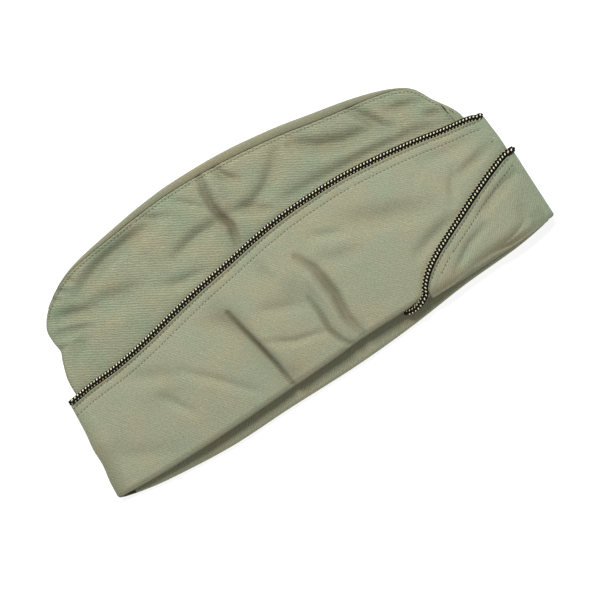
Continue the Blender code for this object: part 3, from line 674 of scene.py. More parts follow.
def faded(u, v):
    """How green the cloth has turned: along the front fold, and at the crown's back."""
    front = FRONT_FADING * blend(u / LENGTH, 0.90, 1.0)
    back = BACK_FADING * (1 - blend(u / LENGTH, 0.06, 0.16)) * blend(v / HEIGHT, 0.50, 0.75)
    return front + back


def sheet(name, points, cloth_uv, shade_and_soil, mat, keep=None, flip=False):
    """One sheet of twill from a grid of points, with its cloth map and its painted shade and soil; keep
    leaves points out.
    """
    rows, columns = points.shape[:2]
    deselect()
    bpy.ops.mesh.primitive_grid_add(x_subdivisions=columns - 1, y_subdivisions=rows - 1, size=1)
    obj = bpy.context.object
    obj.name = name + "_twill"
    mesh = obj.data
    start = np.zeros(len(mesh.vertices) * 3)
    mesh.vertices.foreach_get("co", start)
    start = start.reshape(-1, 3)
    i = np.rint((start[:, 0] + 0.5) * (columns - 1)).astype(int)
    j = np.rint((start[:, 1] + 0.5) * (rows - 1)).astype(int)
    placed = points[j, i] - np.array([CENTRE[0], CENTRE[1], 0])
    mesh.vertices.foreach_set("co", placed.ravel())

    layer = mesh.uv_layers[0]
    layer.name = "cloth"
    corner = np.zeros(len(mesh.loops), dtype=np.int32)
    mesh.loops.foreach_get("vertex_index", corner)
    layer.data.foreach_set("uv", cloth_uv[j, i][corner].ravel())
    mesh.attributes.new("shade_and_soil", "FLOAT", "POINT").data.foreach_set("value", shade_and_soil[j, i].ravel())
    green = faded(points[j, i, 0], points[j, i, 1])
    mesh.attributes.new("faded", "FLOAT", "POINT").data.foreach_set("value", green.ravel())

    bm = bmesh.new()
    bm.from_mesh(mesh)
    if keep is not None:
        bm.verts.ensure_lookup_table()
        held = keep[j, i]
        gone = [f for f in bm.faces if not all(held[vert.index] for vert in f.verts)]
        bmesh.ops.delete(bm, geom=gone, context="FACES")
    if flip:
        bmesh.ops.reverse_faces(bm, faces=bm.faces)
    bm.to_mesh(mesh)
    bm.free()
    mesh.materials.append(mat)
    bpy.ops.object.shade_smooth()
    wall = obj.modifiers.new("wall", "SOLIDIFY")
    wall.thickness = CLOTH
    wall.offset = -1
    wall.use_even_offset = True
    bpy.ops.object.modifier_apply(modifier=wall.name)
    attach(obj, "root")
    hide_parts(name)
    low, high = np.array(obj.bound_box).min(axis=0), np.array(obj.bound_box).max(axis=0)
    print(f"{name}: {len(mesh.polygons)} faces, {np.round((high - low) / MM, 1)} mm")


# %% [markdown]
# ## The crown panels
# Each panel is a fan of columns: from the outline, or from the seam of the top strip, down to an edge
# that the curtain hides. The seam is felled and topstitched on the real cap, which leaves a narrow ridge
# along the edge with a groove beside it, where the stitches sit. Near the front the seam has sprung open
# a little, so the panel's edge draws back there. Beside the back part of the seam the cloth is darkened
# towards brown as painted shade.

# %% Upper and lower crown panel
RIDGE_AT, RIDGE_HEIGHT, RIDGE_WIDTH = 0.45 * MM, 0.30 * MM, 0.6 * MM
SEAM_STITCH, GROOVE_IN, GROOVE_WIDTH = 1.5 * MM, 0.22 * MM, 0.5 * MM
CROWN_COLUMNS = 400
FOOT_START = 0.20
FOOT_SHARE = 0.60
FOOT_CLEAR = 2.6 * HEM_TURN
SEAM_SHADE = 0.5
SEAM_SHADE_WIDTH = 2.5 * MM


def rows_between(*pairs):
    """Shares from 0 to 1 in stretches; each pair gives a stretch's end and its number of steps."""
    rows, start = [0.0], 0.0
    for end, steps in pairs:
        rows += list(start + (end - start) * np.arange(1, steps + 1) / steps)
        start = end
    return np.array(rows)


def seam_relief(inside):
    """Ridge and stitch groove beside a seam, at a distance in from it."""
    ridge = RIDGE_HEIGHT * np.exp(-((inside - RIDGE_AT) / RIDGE_WIDTH) ** 2)
    groove = GROOVE_IN * np.exp(-((inside - SEAM_STITCH) / GROOVE_WIDTH) ** 2)
    return ridge - groove


def crown_panel(name, side, base, columns, rows):
    at = np.linspace(0, LAST, columns + 1)
    k = np.rint(at).astype(int)
    width, slit = (TOP_STRIP, SLIT_GAP) if side > 0 else (TOP_STRIP_UNDER, 0)
    share = STRIP_SHARE[k]
    inset = share * width + np.where(share > 0, SEAM_GAP / 2, 0) + SLIT_SHARE[k] * slit
    edge = OUTLINE[k] + INWARD[k] * inset[:, None]
    along = LENGTH * (FOOT_START + FOOT_SHARE * at / LAST)
    foot = np.column_stack([along, base(along)])
    u, v = [edge[None, :, n] + (foot - edge)[None, :, n] * rows[:, None] for n in (0, 1)]
    z = crown_side(u, v, side)
    shade_and_soil = np.zeros(u.shape)
    if side > 0:
        inside = np.hypot(u - edge[None, :, 0], v - edge[None, :, 1])
        stitched = blend(share[None, :], 0.0, 0.2)
        z = z + seam_relief(inside) * stitched * np.ones(u.shape)
        hidden = blend(up_of(PIPING_RIGHT, u) - v, 0.0, CORD)
        z = z - hidden * CLOTH
        # Painted shade beside the back part of the seam
        seam_shade = SEAM_SHADE * (1 - blend(inside, 0, SEAM_SHADE_WIDTH)) * (1 - blend(u / LENGTH, 0.1, 0.3))
        shade_and_soil = fold_lines(CROWN_FOLDS, u, v)[1] + seam_shade
    sheet(name, np.dstack([u, v, z]), np.dstack([u, v]), shade_and_soil, CROWN_TWILL,
          flip=side > 0)


upper_rows = rows_between((0.012, 3), (0.07, 8), (0.52, 52), (1.0, 24))
lower_rows = rows_between((0.012, 2), (0.07, 4), (0.52, 24), (1.0, 14))
crown_panel("crown_right", 1, lambda u: up_of(NEAR_BASE, u) + FOOT_CLEAR, CROWN_COLUMNS, upper_rows)
crown_panel("crown_left", -1, lambda u: far_base(u) + FOOT_CLEAR, CROWN_COLUMNS // 2, lower_rows)

# %% [markdown]
# ## The top strip
# The strip is folded lengthwise over the top edge, so that most of it lies on the upper side. It is cut
# from the same cloth with its grain another way. It is darkened towards brown, most along its two seams
# and least on the fold over the top edge, but not at its front end.

# %% Top strip
STRIP_STEPS = (1.0, 0.85, 0.70, 0.55, 0.42, 0.30, 0.20, 0.10, 0.04, 0.0, -0.1, -0.25, -0.5, -0.75, -1.0)
STRIP_DARKENING = 0.75
STRIP_PALE_END = (0.74, 0.81)


def top_strip():
    k = np.arange(0, OUTLINE_POINTS, 2)
    k = k[STRIP_SHARE[k] * TOP_STRIP > SEAM_GAP]
    steps = np.array(STRIP_STEPS)
    share = STRIP_SHARE[k][None, :]
    upper = steps[:, None] >= 0
    width = np.where(upper, TOP_STRIP, TOP_STRIP_UNDER)
    depth = np.maximum(np.abs(steps)[:, None] * (share * width - SEAM_GAP / 2), 0)
    u = OUTLINE[k, 0][None, :] + INWARD[k, 0][None, :] * depth
    v = OUTLINE[k, 1][None, :] + INWARD[k, 1][None, :] * depth
    z = np.where(upper, crown_side(u, v, 1, seam=0.0), crown_side(u, v, -1, seam=0.0))
    run = np.linspace(0, OUTLINE_LENGTH, OUTLINE_POINTS)[k]
    cloth_uv = np.dstack([np.broadcast_to(run, u.shape), np.sign(steps)[:, None] * depth])
    # Darkening towards brown along the strip, strongest beside its seams and fading out towards the front end
    shade_and_soil = STRIP_DARKENING * (1 - blend(k / LAST, *STRIP_PALE_END))[None, :] * (0.35 + 0.65 * np.abs(steps)[:, None])
    sheet("crown_top", np.dstack([u, v, z]), cloth_uv, shade_and_soil, STRIP_TWILL)


top_strip()

# %% [markdown]
# ## The curtains
# A curtain is one band of cloth, turned in at the base edge to make a deep hem. Seen in a cut it has an
# outer leaf, a round turn and an inner leaf. The band is walked from the back seam to its other end:
# round the back fold, along the cap and round the front fold. The left one then comes back over the
# upper side as the flap. The top edge is folded in beside the cord, and two rows of stitches hold it.

# %% Rows and folds of a curtain
TURN_ANGLES = np.arange(22.5, 181, 22.5)
EDGE_ROW_ANGLE = 90


def curtain_rows(base, top, turn, outer_shares, inner_shares):
    """Heights, depths and run along the cloth of a curtain's rows, for one column of its grid."""
    angles = np.radians(TURN_ANGLES)
    v = np.concatenate([base + turn + outer_shares * (top - base - turn),
                        base + turn * (1 - np.sin(angles)),
                        base + turn + inner_shares * HEM])
    depth = np.concatenate([np.zeros(len(outer_shares)), turn * (1 - np.cos(angles)),
                            np.full(len(inner_shares), 2 * turn)])
    run = np.concatenate([v[:len(outer_shares)], base + turn - turn * angles,
                          base + turn - turn * math.pi - inner_shares * HEM])
    return v, depth, run


def fold(edge, facing, centre_z, radius, height, angle, depth):
    """A point on a rounded fold, `depth` inside its outer face, at an angle from -90 to 90 degrees."""
    turn = math.radians(angle)
    u = edge - facing * (radius - (radius - depth) * math.cos(turn))
    return u, centre_z + (height - depth) * math.sin(turn)


# How far the folded edge goes under the cord, how far the upper cord has sagged towards the base edge,
# and over what share of LENGTH a hem grows from a plain fold
EDGE_TUCK = -0.15 * MM
CORD_SAG = 0.35 * MM
HEM_GROWTH = 0.06

# The relief beside a curtain's cord: stitch rows, lift, folded lip, grooves and puckers
STITCH_ROWS = (1.7 * MM, 5.8 * MM)
EDGE_LIFT, EDGE_LIFT_WIDTH = 0.15 * MM, 6.5 * MM
LIP_AT, LIP_HEIGHT, LIP_WIDTH = 0.50 * MM, 0.85 * MM, 0.52 * MM
STITCH_GROOVE, STITCH_GROOVE_WIDTH = 0.25 * MM, 0.55 * MM
PUCKER_HEIGHT, PUCKER_SIZE = 0.07 * MM, 3.1 * MM

# How far up from the base edge painted shade reaches, on the curtains and on the flap, and how dark it is at
# the rim, on the hidden inner leaf and at the back fold
EDGE_SHADE_REACH = 4.0 * MM
FLAP_EDGE_SHADE_REACH = 8.8 * MM
RIM_SHADE = 0.8
HIDDEN_LEAF_SHADE = 0.25
BACK_FOLD_SHADE = 0.55


def hem_turn(u, start, end, full):
    """Radius of the turned base edge: it grows from a plain fold to the full hem."""
    grown = blend(u / LENGTH, start, start + HEM_GROWTH) * (1 - blend(u / LENGTH, end - HEM_GROWTH, end))
    return PLAIN_TURN + (full - PLAIN_TURN) * float(grown)


def edge_drop(table, u):
    """How far the cloth's folded edge lies below a cord's line."""
    sag = CORD_SAG if table is PIPING_RIGHT else 0
    return (CORD / 2 + EDGE_TUCK) * np.hypot(1, slope_of(table, u)) + sag


def edge_relief(below, u):
    """Dip towards the cord, the light folded edge, and two stitched grooves with small puckers."""
    lift = EDGE_LIFT * (1 - blend(below, 0, EDGE_LIFT_WIDTH))
    lip = LIP_HEIGHT * np.exp(-((below - LIP_AT) / LIP_WIDTH) ** 2)
    grooves = sum(STITCH_GROOVE * np.exp(-((below - at) / STITCH_GROOVE_WIDTH) ** 2) for at in STITCH_ROWS)
    puckers = PUCKER_HEIGHT * crumple(u, below * 0.5, PUCKER_SIZE, 3) * (1 - blend(below, 4 * MM, 12 * MM))
    return lift + lip - grooves + puckers


def under_curtain_right(v):
    """Floor of the upper curtain's turned-under end: on the lower curtain, and over its cord further up."""
    return STEP + (OVER_CORD - STEP) * blend(v / HEIGHT, *OVER_PIPING)


def build_curtain(name, stations, position, limits, hemmed, relief, outer_shares, inner_shares, flip):
    """Walk a band of cloth from station to station; the four functions say how it lies at each one."""
    columns = []
    for kind, value in stations:
        base, top, turn = limits(kind, value)
        v, depth, run = curtain_rows(base, top, turn, outer_shares, inner_shares)
        u, z = position(kind, value, v, depth)
        outer = depth == 0
        extra, shade_and_soil = relief(kind, u, v, top)
        z = z + np.where(outer, extra, 0)
        # Painted shade: the outer face darkens towards the base edge, the rolled turn darkens as it turns
        # under, the hidden inner leaf throughout, and the back fold too
        rim = FLAP_EDGE_SHADE_REACH if kind == "flap" else EDGE_SHADE_REACH
        rolled = ~outer & (depth <= turn * 1.01)
        wear_tone_and_edge_shade = np.where(outer, RIM_SHADE * (1 - blend(v - base, 0.5 * MM, rim)),
                        HIDDEN_LEAF_SHADE + np.where(rolled, (1 - HIDDEN_LEAF_SHADE) * depth / turn, 0))
        wear_tone_and_edge_shade = np.maximum(wear_tone_and_edge_shade, BACK_FOLD_SHADE * (1 - blend(u / LENGTH, 0.0, 0.05)))
        columns.append((np.broadcast_to(u, v.shape), v, z, run, np.where(outer, shade_and_soil, 0) + wear_tone_and_edge_shade))
    u, v, z, run, shade_and_soil = [np.array([c[n] for c in columns]).T for n in range(5)]
    middle = len(outer_shares) // 2
    gaps = np.hypot(np.diff(u[middle]), np.diff(z[middle]))
    along = np.concatenate([[0], np.cumsum(gaps)])
    cloth_uv = np.dstack([np.broadcast_to(along, u.shape), run])
    edge_row = len(outer_shares) + int(EDGE_ROW_ANGLE / TURN_ANGLES[0]) - 1
    is_hem = np.array([hemmed(kind, value) for kind, value in stations])
    keep = (np.arange(len(u))[:, None] <= edge_row) | is_hem[None, :]
    sheet(name, np.dstack([u, v, z]), cloth_uv, shade_and_soil, CURTAIN_TWILL, keep, flip)


print("two rows of stitches", [round(at / MM, 1) for at in STITCH_ROWS], "mm below the edge")

# %% [markdown]
# ## The upper curtain
# Its back end goes half round the back fold and meets the other curtain there. Its front end goes round
# the front fold, inside the other curtain, and is turned under a little. The folds of the table are part
# of the height function, so this function only has to place the band.

# %% Upper curtain
UPPER_COLUMNS = 330


def curtain_right():
    stations = [("back", a) for a in np.arange(0, 91, 9)]
    stations += [("flat", k / UPPER_COLUMNS) for k in range(1, UPPER_COLUMNS)]
    stations += [("front", a) for a in np.arange(90, -91, -9)]
    stations += [("under", s) for s in (0.25, 0.5, 0.75, 1.0)]
    radius_b = BACK_RISE / 2
    radius_f = (FRONT_RISE - STEP) / 2

    def position(kind, value, v, depth):
        back = read(CURTAIN_BACK, v / HEIGHT) * LENGTH
        front = LENGTH * (1 - read(CURTAIN_FRONT, v / HEIGHT)) - STEP
        low = under_curtain_right(v)
        if kind == "back":
            middle = radius_b + CREASE_GAP / 2
            return fold(back, -1, middle, radius_b, body(back + radius_b, v) - middle, value, depth)
        if kind == "flat":
            u = back + radius_b + value * (front - back - radius_b - radius_f)
            return u, body(u, v) - depth
        if kind == "front":
            top = body(front - radius_f, v)
            return fold(front, 1, (top + low) / 2, radius_f, (top - low) / 2, value, depth)
        return front - radius_f - value * TURN_UNDER, low + depth

    def limits(kind, value):
        u0 = float(position(kind, value, HEIGHT * 0.25, 0.0)[0])
        u1 = float(position(kind, value, HEIGHT * 0.5, 0.0)[0])
        turn = hem_turn(u0, HEM_ENDS, 1 - HEM_ENDS, HEM_TURN) if hemmed(kind, value) else PLAIN_TURN
        return up_of(NEAR_BASE, u0), up_of(PIPING_RIGHT, u1) - edge_drop(PIPING_RIGHT, u1), turn

    def hemmed(kind, value):
        u = float(position(kind, value, 0.0, 0.0)[0])
        return kind == "flat" and HEM_ENDS * LENGTH < u < (1 - HEM_ENDS) * LENGTH

    def relief(kind, u, v, top):
        if kind != "flat":
            return 0.0, 0.0
        return edge_relief(top - v, u), fold_lines(CURTAIN_FOLDS, u, v)[1]

    outer = 1 - rows_between((0.10, 14), (1.0, 78))
    inner = np.linspace(0, 1, 13)[1:]
    build_curtain("curtain_right", stations, position, limits, hemmed, relief, outer, inner, True)


curtain_right()

# %% [markdown]
# ## The lower curtain and its flap
# This band lies on the floor, goes round the front fold and comes back over the upper side as the flap
# with the slanting edge. The flap lies on the other curtain, so it is one layer higher and its hem is
# one layer rounder.

# %% Lower curtain and flap
LOWER_COLUMNS = 120
FLAP_COLUMNS = 96
FLAP_RELIEF = 0.8
FLAP_END = FLAP_EDGE[0][0] + 0.014


def curtain_left():
    stations = [("back", a) for a in np.arange(0, -91, -15)]
    stations += [("flat", k / LOWER_COLUMNS) for k in range(1, LOWER_COLUMNS)]
    stations += [("front", a) for a in np.arange(-90, 91, 9)]
    stations += [("flap", k / FLAP_COLUMNS) for k in range(1, FLAP_COLUMNS + 1)]
    radius_b = BACK_RISE / 2
    radius_f = (FRONT_RISE + STEP) / 2
    flap_end = LENGTH * FLAP_END

    def position(kind, value, v, depth):
        back = read(CURTAIN_BACK, v / HEIGHT) * LENGTH
        if kind == "back":
            middle = radius_b - CREASE_GAP / 2
            return fold(back, -1, middle, radius_b, middle, value, depth)
        if kind == "flat":
            return back + radius_b + value * (LENGTH - back - radius_b - radius_f), depth + 0 * v
        if kind == "front":
            top = body(LENGTH - radius_f, v) + STEP
            height = top - radius_f if value > 0 else radius_f
            return fold(LENGTH, 1, radius_f, radius_f, height, value, depth)
        u = LENGTH - radius_f - value * (LENGTH - radius_f - flap_end) + 0 * v
        return u, body(u, v) + STEP - depth

    def hemmed(kind, value):
        u = float(np.mean(position(kind, value, np.array([0.0]), 0.0)[0]))
        if kind == "flat":
            return FAR_HEM_ENDS * LENGTH < u < (1 - FAR_HEM_ENDS) * LENGTH
        return kind == "flap" and FLAP_TIP * LENGTH < u < (1 - FLAP_HEM_END) * LENGTH

    def limits(kind, value):
        u0 = float(np.mean(position(kind, value, np.array([HEIGHT * 0.2]), 0.0)[0]))
        if kind == "flap":
            base = flap_base(u0)
            top = up_of(FLAP_EDGE, u0) - edge_drop(FLAP_EDGE, u0)
            turn = hem_turn(u0, FLAP_TIP, 1 - FLAP_HEM_END, FLAP_TURN)
        else:
            base = far_base(u0) if kind != "front" else flap_base(LENGTH)
            top = up_of(PIPING_LEFT, u0) - edge_drop(PIPING_LEFT, u0)
            turn = hem_turn(u0, FAR_HEM_ENDS, 1 - FAR_HEM_ENDS, HEM_TURN)
        turn = turn if hemmed(kind, value) else PLAIN_TURN
        return base, max(float(top), float(base) + turn + CLOTH), turn

    def relief(kind, u, v, top):
        if kind != "flap":
            return 0.0, 0.0
        depth, shade_and_soil = fold_lines(FLAP_FOLDS, u, v)
        slope = np.hypot(1, slope_of(FLAP_EDGE, u))
        return edge_relief((top - v) / slope, u) * FLAP_RELIEF - depth, shade_and_soil

    outer = 1 - rows_between((0.20, 16), (1.0, 48))
    inner = np.linspace(0, 1, 11)[1:]
    build_curtain("curtain_left", stations, position, limits, hemmed, relief, outer, inner, False)


curtain_left()

# %% [markdown]
# ## The braided cords
# The piping is a round braid of black thread with a few strands of pale gold. The gold is a lurex thread,
# brighter and a little glossy, and the black is matt rayon. One row of gold, on the side of the cord
# turned from the light, has a dimmer copy of the gold: painted shade. The fibres are too fine to model,
# so a noise a few tenths of a millimetre wide shades them.

# %% Materials of the braid
def floss(name, colour, roughness, metallic, sheen):
    mat = bpy.data.materials.new(name)
    mat.use_nodes = True
    tree = mat.node_tree
    shader = tree.nodes["Principled BSDF"]
    place = node(tree, "ShaderNodeTexCoord")
    in_mm = node(tree, "ShaderNodeMapping", {"Vector": place.outputs["Object"]}, in_Scale=(1000, 1000, 1000))
    fibres = node(tree, "ShaderNodeTexNoise", {"Vector": in_mm.outputs["Vector"]}, in_Scale=2.2,
                  in_Detail=3.0)
    shade = node(tree, "ShaderNodeMapRange", {"Value": fibres.outputs["Fac"]}, in_From_Min=0.3,
                 in_From_Max=0.7, in_To_Min=0.72, in_To_Max=1.18)
    tone = node(tree, "ShaderNodeVectorMath", {"Scale": shade.outputs[0]}, operation="SCALE",
                in_0=linear(colour)[:3])
    tree.links.new(tone.outputs[0], shader.inputs["Base Color"])
    bump = node(tree, "ShaderNodeBump", {"Height": fibres.outputs["Fac"]}, in_Strength=0.3,
                in_Distance=0.05 * MM)
    tree.links.new(bump.outputs["Normal"], shader.inputs["Normal"])
    shader.inputs["Roughness"].default_value = roughness
    shader.inputs["Metallic"].default_value = metallic
    shader.inputs["Specular IOR Level"].default_value = 0.2
    shader.inputs["Sheen Weight"].default_value = sheen
    return mat


BLACK_FLOSS = floss("black_rayon_floss", "#08080a", 0.75, 0.0, 0.0)
GOLD_FLOSS = floss("pale_gold_lurex", "#f6efc6", 0.45, 0.1, 0.0)
# A dimmer copy of the gold for the row on the cord's shaded side: painted shade
SHADED_GOLD_FLOSS = floss("gold_lurex_painted_shade", "#cdbf8c", 0.6, 0.0, 0.0)
print("three kinds of floss")

# %% [markdown]
# ## The paths of the cords
# Each cord is sewn into the seam along a curtain's edge, so its path follows the pattern's line, half
# sunk beside the cloth. The upper one goes round both folds. The lower one comes round the front fold,
# runs down the flap's slanting edge and curls under the base edge.

# %% Paths of the two cords
def seat(u, v):
    """Height of the upper cord's middle: it rests on the highest cloth beneath it."""
    return np.max([body(u, v + k * CORD / 2) for k in (-1, 0, 1)], axis=0) - STEP + LAP


def turned(edge, facing, centre_z, radius, height, angles, v):
    """Points of a path that goes round a fold."""
    points = []
    for angle in angles:
        u, z = fold(edge, facing, centre_z, radius, height, angle, 0.0)
        points.append((float(u), float(v), float(z)))
    return points


def piping_right_path():
    up = float(up_of(PIPING_RIGHT, 0.0))
    back = float(read(CURTAIN_BACK, up / HEIGHT)) * LENGTH + CORD_INSET
    radius = BACK_RISE / 2
    top = float(seat(back + radius, up))
    middle = OVER_CORD + CORD_GAP
    points = [(back, up, OVER_CORD)]
    points += turned(back, -1, middle, radius, top - middle, range(0, 91, 15), up)
    last = float(up_of(PIPING_RIGHT, LENGTH))
    front = LENGTH * (1 - CURTAIN_FRONT[-1][1]) - STEP - CORD_INSET
    radius_f = (FRONT_RISE - STEP) / 2
    u = back + radius + (front - back - radius - radius_f) * np.arange(1, 120) / 120
    v = up_of(PIPING_RIGHT, u)
    points += list(zip(u, v, seat(u, v)))
    top = float(seat(front - radius_f, last))
    middle = (top + CORD / 2) / 2
    points += turned(front, 1, middle, radius_f, top - middle, range(90, -91, -15), last)
    points.append((points[-1][0] - TURN_UNDER / 2, last, CORD / 2))
    return np.array(points) - (0, CORD_SAG, 0)


def piping_left_path():
    up = float(up_of(PIPING_LEFT, 0.0))
    back = float(read(CURTAIN_BACK, up / HEIGHT)) * LENGTH + CORD_INSET
    radius = BACK_RISE / 2
    points = [(back - CORD / 2, up, CORD / 2)]
    front = LENGTH - FLAP_CORD_INSET
    radius_f = (FRONT_RISE + STEP) / 2
    u = back + radius + (front - back - radius - radius_f) * np.arange(100) / 100
    points += list(zip(u, up_of(PIPING_LEFT, u), np.full(100, CORD / 2)))
    last = float(up_of(FLAP_EDGE, LENGTH))
    top = float(body(front - radius_f, last)) + LAP
    middle = (top + CORD / 2) / 2
    points += turned(front, 1, middle, radius_f, top - middle, range(-90, 91, 15), last)
    curl = CURL_START * LENGTH
    u = front - radius_f + (curl - front + radius_f) * np.arange(1, 50) / 50
    v = up_of(FLAP_EDGE, u)
    points += list(zip(u, v, body(u, v) + LAP))
    share = np.arange(25) / 24
    u = curl + (CURL_END * LENGTH - curl) * share
    turn = np.radians(CURL_TURN * share)
    v = up_of(NEAR_BASE, u) + HEM_TURN
    z = body(u, v) - HEM_TURN
    points += list(zip(u, v - (HEM_TURN + LAP) * np.sin(turn), z + (HEM_TURN + LAP) * np.cos(turn)))
    return np.array(points)


print("upper cord", len(piping_right_path()), "points, lower cord", len(piping_left_path()), "points")

# %% [markdown]
# ## Many small parts in one mesh
# A cord has hundreds of floats and a seam has hundreds of stitches. One small ball is made, its points
# are stretched and set down again and again, and all of them are joined in one mesh. That is far quicker
# than as many copied objects, and a ball of 40 faces is enough at this size.

# %% Even path, small ball and joined mesh
SMOOTH_ROUNDS = 4


def along_path(points, gap):
    """Evenly spaced points on a path, with its direction and a normal that is carried along it."""
    run = np.concatenate([[0], np.cumsum(np.linalg.norm(np.diff(points, axis=0), axis=1))])
    at = np.arange(0, run[-1], gap)
    p = np.column_stack([np.interp(at, run, points[:, n]) for n in range(3)])
    for _ in range(SMOOTH_ROUNDS):
        p[1:-1] = (p[:-2] + 2 * p[1:-1] + p[2:]) / 4
    t = np.gradient(p, axis=0)
    t /= np.linalg.norm(t, axis=1)[:, None]
    n = np.zeros_like(p)
    top = int(np.argmax(p[:, 2]))
    n[top] = (0, 0, 1)
    for order in (range(top, len(p)), range(top, -1, -1)):
        now = np.array([0.0, 0.0, 1.0])
        for k in order:
            now = now - np.dot(now, t[k]) * t[k]
            now /= np.linalg.norm(now)
            n[k] = now
    return at, p, t, n


def ball(segments, rings):
    """Points and faces of a small ball, for copies."""
    deselect()
    bpy.ops.mesh.primitive_uv_sphere_add(segments=segments, ring_count=rings, radius=1)
    obj = bpy.context.object
    points = np.array([vert.co for vert in obj.data.vertices])
    faces = [tuple(p.vertices) for p in obj.data.polygons]
    bpy.data.objects.remove(obj, do_unlink=True)
    return points, faces


def set_down(ball_points, middle, axes, size):
    """A ball's points stretched along three axes and moved to a place."""
    points = middle
    for n, (axis, half) in enumerate(zip(axes, size)):
        points = points + ball_points[:, n:n + 1] * axis * half
    return points


def joined(name, points_list, faces_list, mats, mat_index):
    """One mesh from many parts, each with its own points and faces."""
    points, faces, index, start = [], [], [], 0
    for part, part_faces, m in zip(points_list, faces_list, mat_index):
        points.append(part)
        faces += [tuple(k + start for k in f) for f in part_faces]
        index += [m] * len(part_faces)
        start += len(part)
    mesh = bpy.data.meshes.new(name)
    mesh.from_pydata(np.concatenate(points).tolist(), [], faces)
    for mat in mats:
        mesh.materials.append(mat)
    mesh.polygons.foreach_set("material_index", index)
    obj = bpy.data.objects.new(name, mesh)
    bpy.context.scene.collection.objects.link(obj)
    mesh.shade_smooth()
    return obj


print("a float has", len(ball(8, 5)[1]), "faces")

# %% [markdown]
# ## The braid
# What shows of a braid are short floats: where a strand passes over another one, it bulges, and then
# dives under the next. Five rows of floats run round a dark core, and each row has its own colour, taking
# turns with black: two rows of gold, one of gold made dimmer as painted shade and two all black. Most
# neighbouring rows are half a step apart. A sewn cord twists a little on its way, so the first row's
# angle changes along the path.

# %% The braided cords
BLACK, GOLD, SHADED_GOLD = 0, 1, 2
# The row at 281 degrees, on the side of the cord turned from the light, takes the dimmer gold as painted
# shade
ROWS = ((0, GOLD, 0.0), (70, BLACK, 0.5), (140, BLACK, 0.0), (210, GOLD, 0.5), (281, SHADED_GOLD, 0.5))

# Step of the floats, half sizes of a black, gold and dim one, their slant in degrees and how far they
# stand out. Where the cord is steeper than STEEP, at the folds, only black shows
FLOAT_GAP = 2.0 * MM
FLOAT_SIZES = ((1.15 * MM, 0.56 * MM, 0.50 * MM), (0.92 * MM, 0.42 * MM, 0.42 * MM),
               (0.76 * MM, 0.32 * MM, 0.38 * MM))
FLOAT_LEAN = 45
FLOAT_SWELL = 0.15 * MM
STEEP = 0.7
PATH_GAP = 0.5 * MM
CORE_INSET = 0.32 * MM


def tube(p, t, n, radius, sides=10):
    """Core of a cord: rings round the path, closed at both ends."""
    b = np.cross(n, t)
    angles = (np.arange(sides) * 2 * math.pi / sides)[:, None]
    rings = [p[k] + radius * (np.cos(angles) * n[k] + np.sin(angles) * b[k]) for k in range(len(p))]
    faces = []
    for k in range(len(p) - 1):
        for m in range(sides):
            a, c = k * sides + m, k * sides + (m + 1) % sides
            faces.append((a, a + sides, c + sides, c))
    faces.append(tuple(range(sides)))
    faces.append(tuple(range(len(p) * sides - 1, (len(p) - 1) * sides - 1, -1)))
    return np.concatenate(rings), faces


def braid(name, points, phase):
    """phase gives the angle of the first row of floats, at a share of the way along the path."""
    at, p, t, n = along_path(points, PATH_GAP)
    p = p - np.array([CENTRE[0], CENTRE[1], 0])
    core = tube(p[::2], t[::2], n[::2], CORD / 2 - CORE_INSET)
    parts, faces, index = [core[0]], [core[1]], [BLACK]
    ball_points, ball_faces = ball(8, 5)
    b = np.cross(n, t)
    starts = np.arange(FLOAT_GAP, at[-1] - FLOAT_GAP, FLOAT_GAP)
    for row_angle, own, offset in ROWS:
        for own_colour, shift in ((own, 0.0), (BLACK, 0.5)):
            for s in starts + (shift + offset) * FLOAT_GAP:
                k = min(int(s / PATH_GAP), len(p) - 1)
                colour = BLACK if abs(t[k, 2]) > STEEP else own_colour
                size = FLOAT_SIZES[colour]
                angle = math.radians(phase(s / at[-1]) + row_angle)
                out = math.cos(angle) * n[k] + math.sin(angle) * b[k]
                across = np.cross(t[k], out)
                lean = math.radians(-FLOAT_LEAN if colour == BLACK else FLOAT_LEAN)
                long_axis = math.cos(lean) * t[k] - math.sin(lean) * across
                middle = p[k] + out * (CORD / 2 + FLOAT_SWELL - size[2])
                parts.append(set_down(ball_points, middle, (long_axis, np.cross(out, long_axis), out), size))
                faces.append(ball_faces)
                index.append(colour)
    obj = joined(name + "_braid", parts, faces, [BLACK_FLOSS, GOLD_FLOSS, SHADED_GOLD_FLOSS], index)
    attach(obj, "root")
    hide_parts(name)
    print(f"{name}: {len(parts) - 1} floats, {at[-1] / MM:.0f} mm")


# The first row's angle at the back end of the upper cord and under the cap on the lower one, and its twist
RIGHT_ANGLE, RIGHT_TWIST = 44, -24
LEFT_ANGLE, LEFT_TWIST = 2, 30
braid("piping_right", piping_right_path(), lambda share: RIGHT_ANGLE + RIGHT_TWIST * blend(share, 0.4, 0.9))
braid("piping_left", piping_left_path(), lambda share: LEFT_ANGLE + LEFT_TWIST * blend(share, 0.93, 0.99))

# %% [markdown]
# ## The stitches
# The rows of machine stitches are cotton thread, about 2.2 mm a stitch. The thread is coloured dark olive,
# much darker than the cloth, as painted shade for the needle holes and the shadows between the stitches.
# Each stitch is a short rounded length of thread that lies in its groove and dives in at both ends.

# %% Thread and stitches
# Thread coloured dark as painted shade for the stitch holes; the green tacks use it too
STITCH_SHADE_THREAD = floss("olive_thread_painted_stitch_shade", "#56573f", 0.8, 0.0, 0.1)
THREAD_BALL = ball(6, 5)
THREAD_SIZE = (0.80 * MM, 0.22 * MM, 0.18 * MM)
THREAD_LIFT = 0.05 * MM
STITCH = 2.2 * MM
STITCH_PATH_GAP = 0.2 * MM
STITCH_LEAN, LEAN_SPREAD = 10, 6
MISSING = 0.02

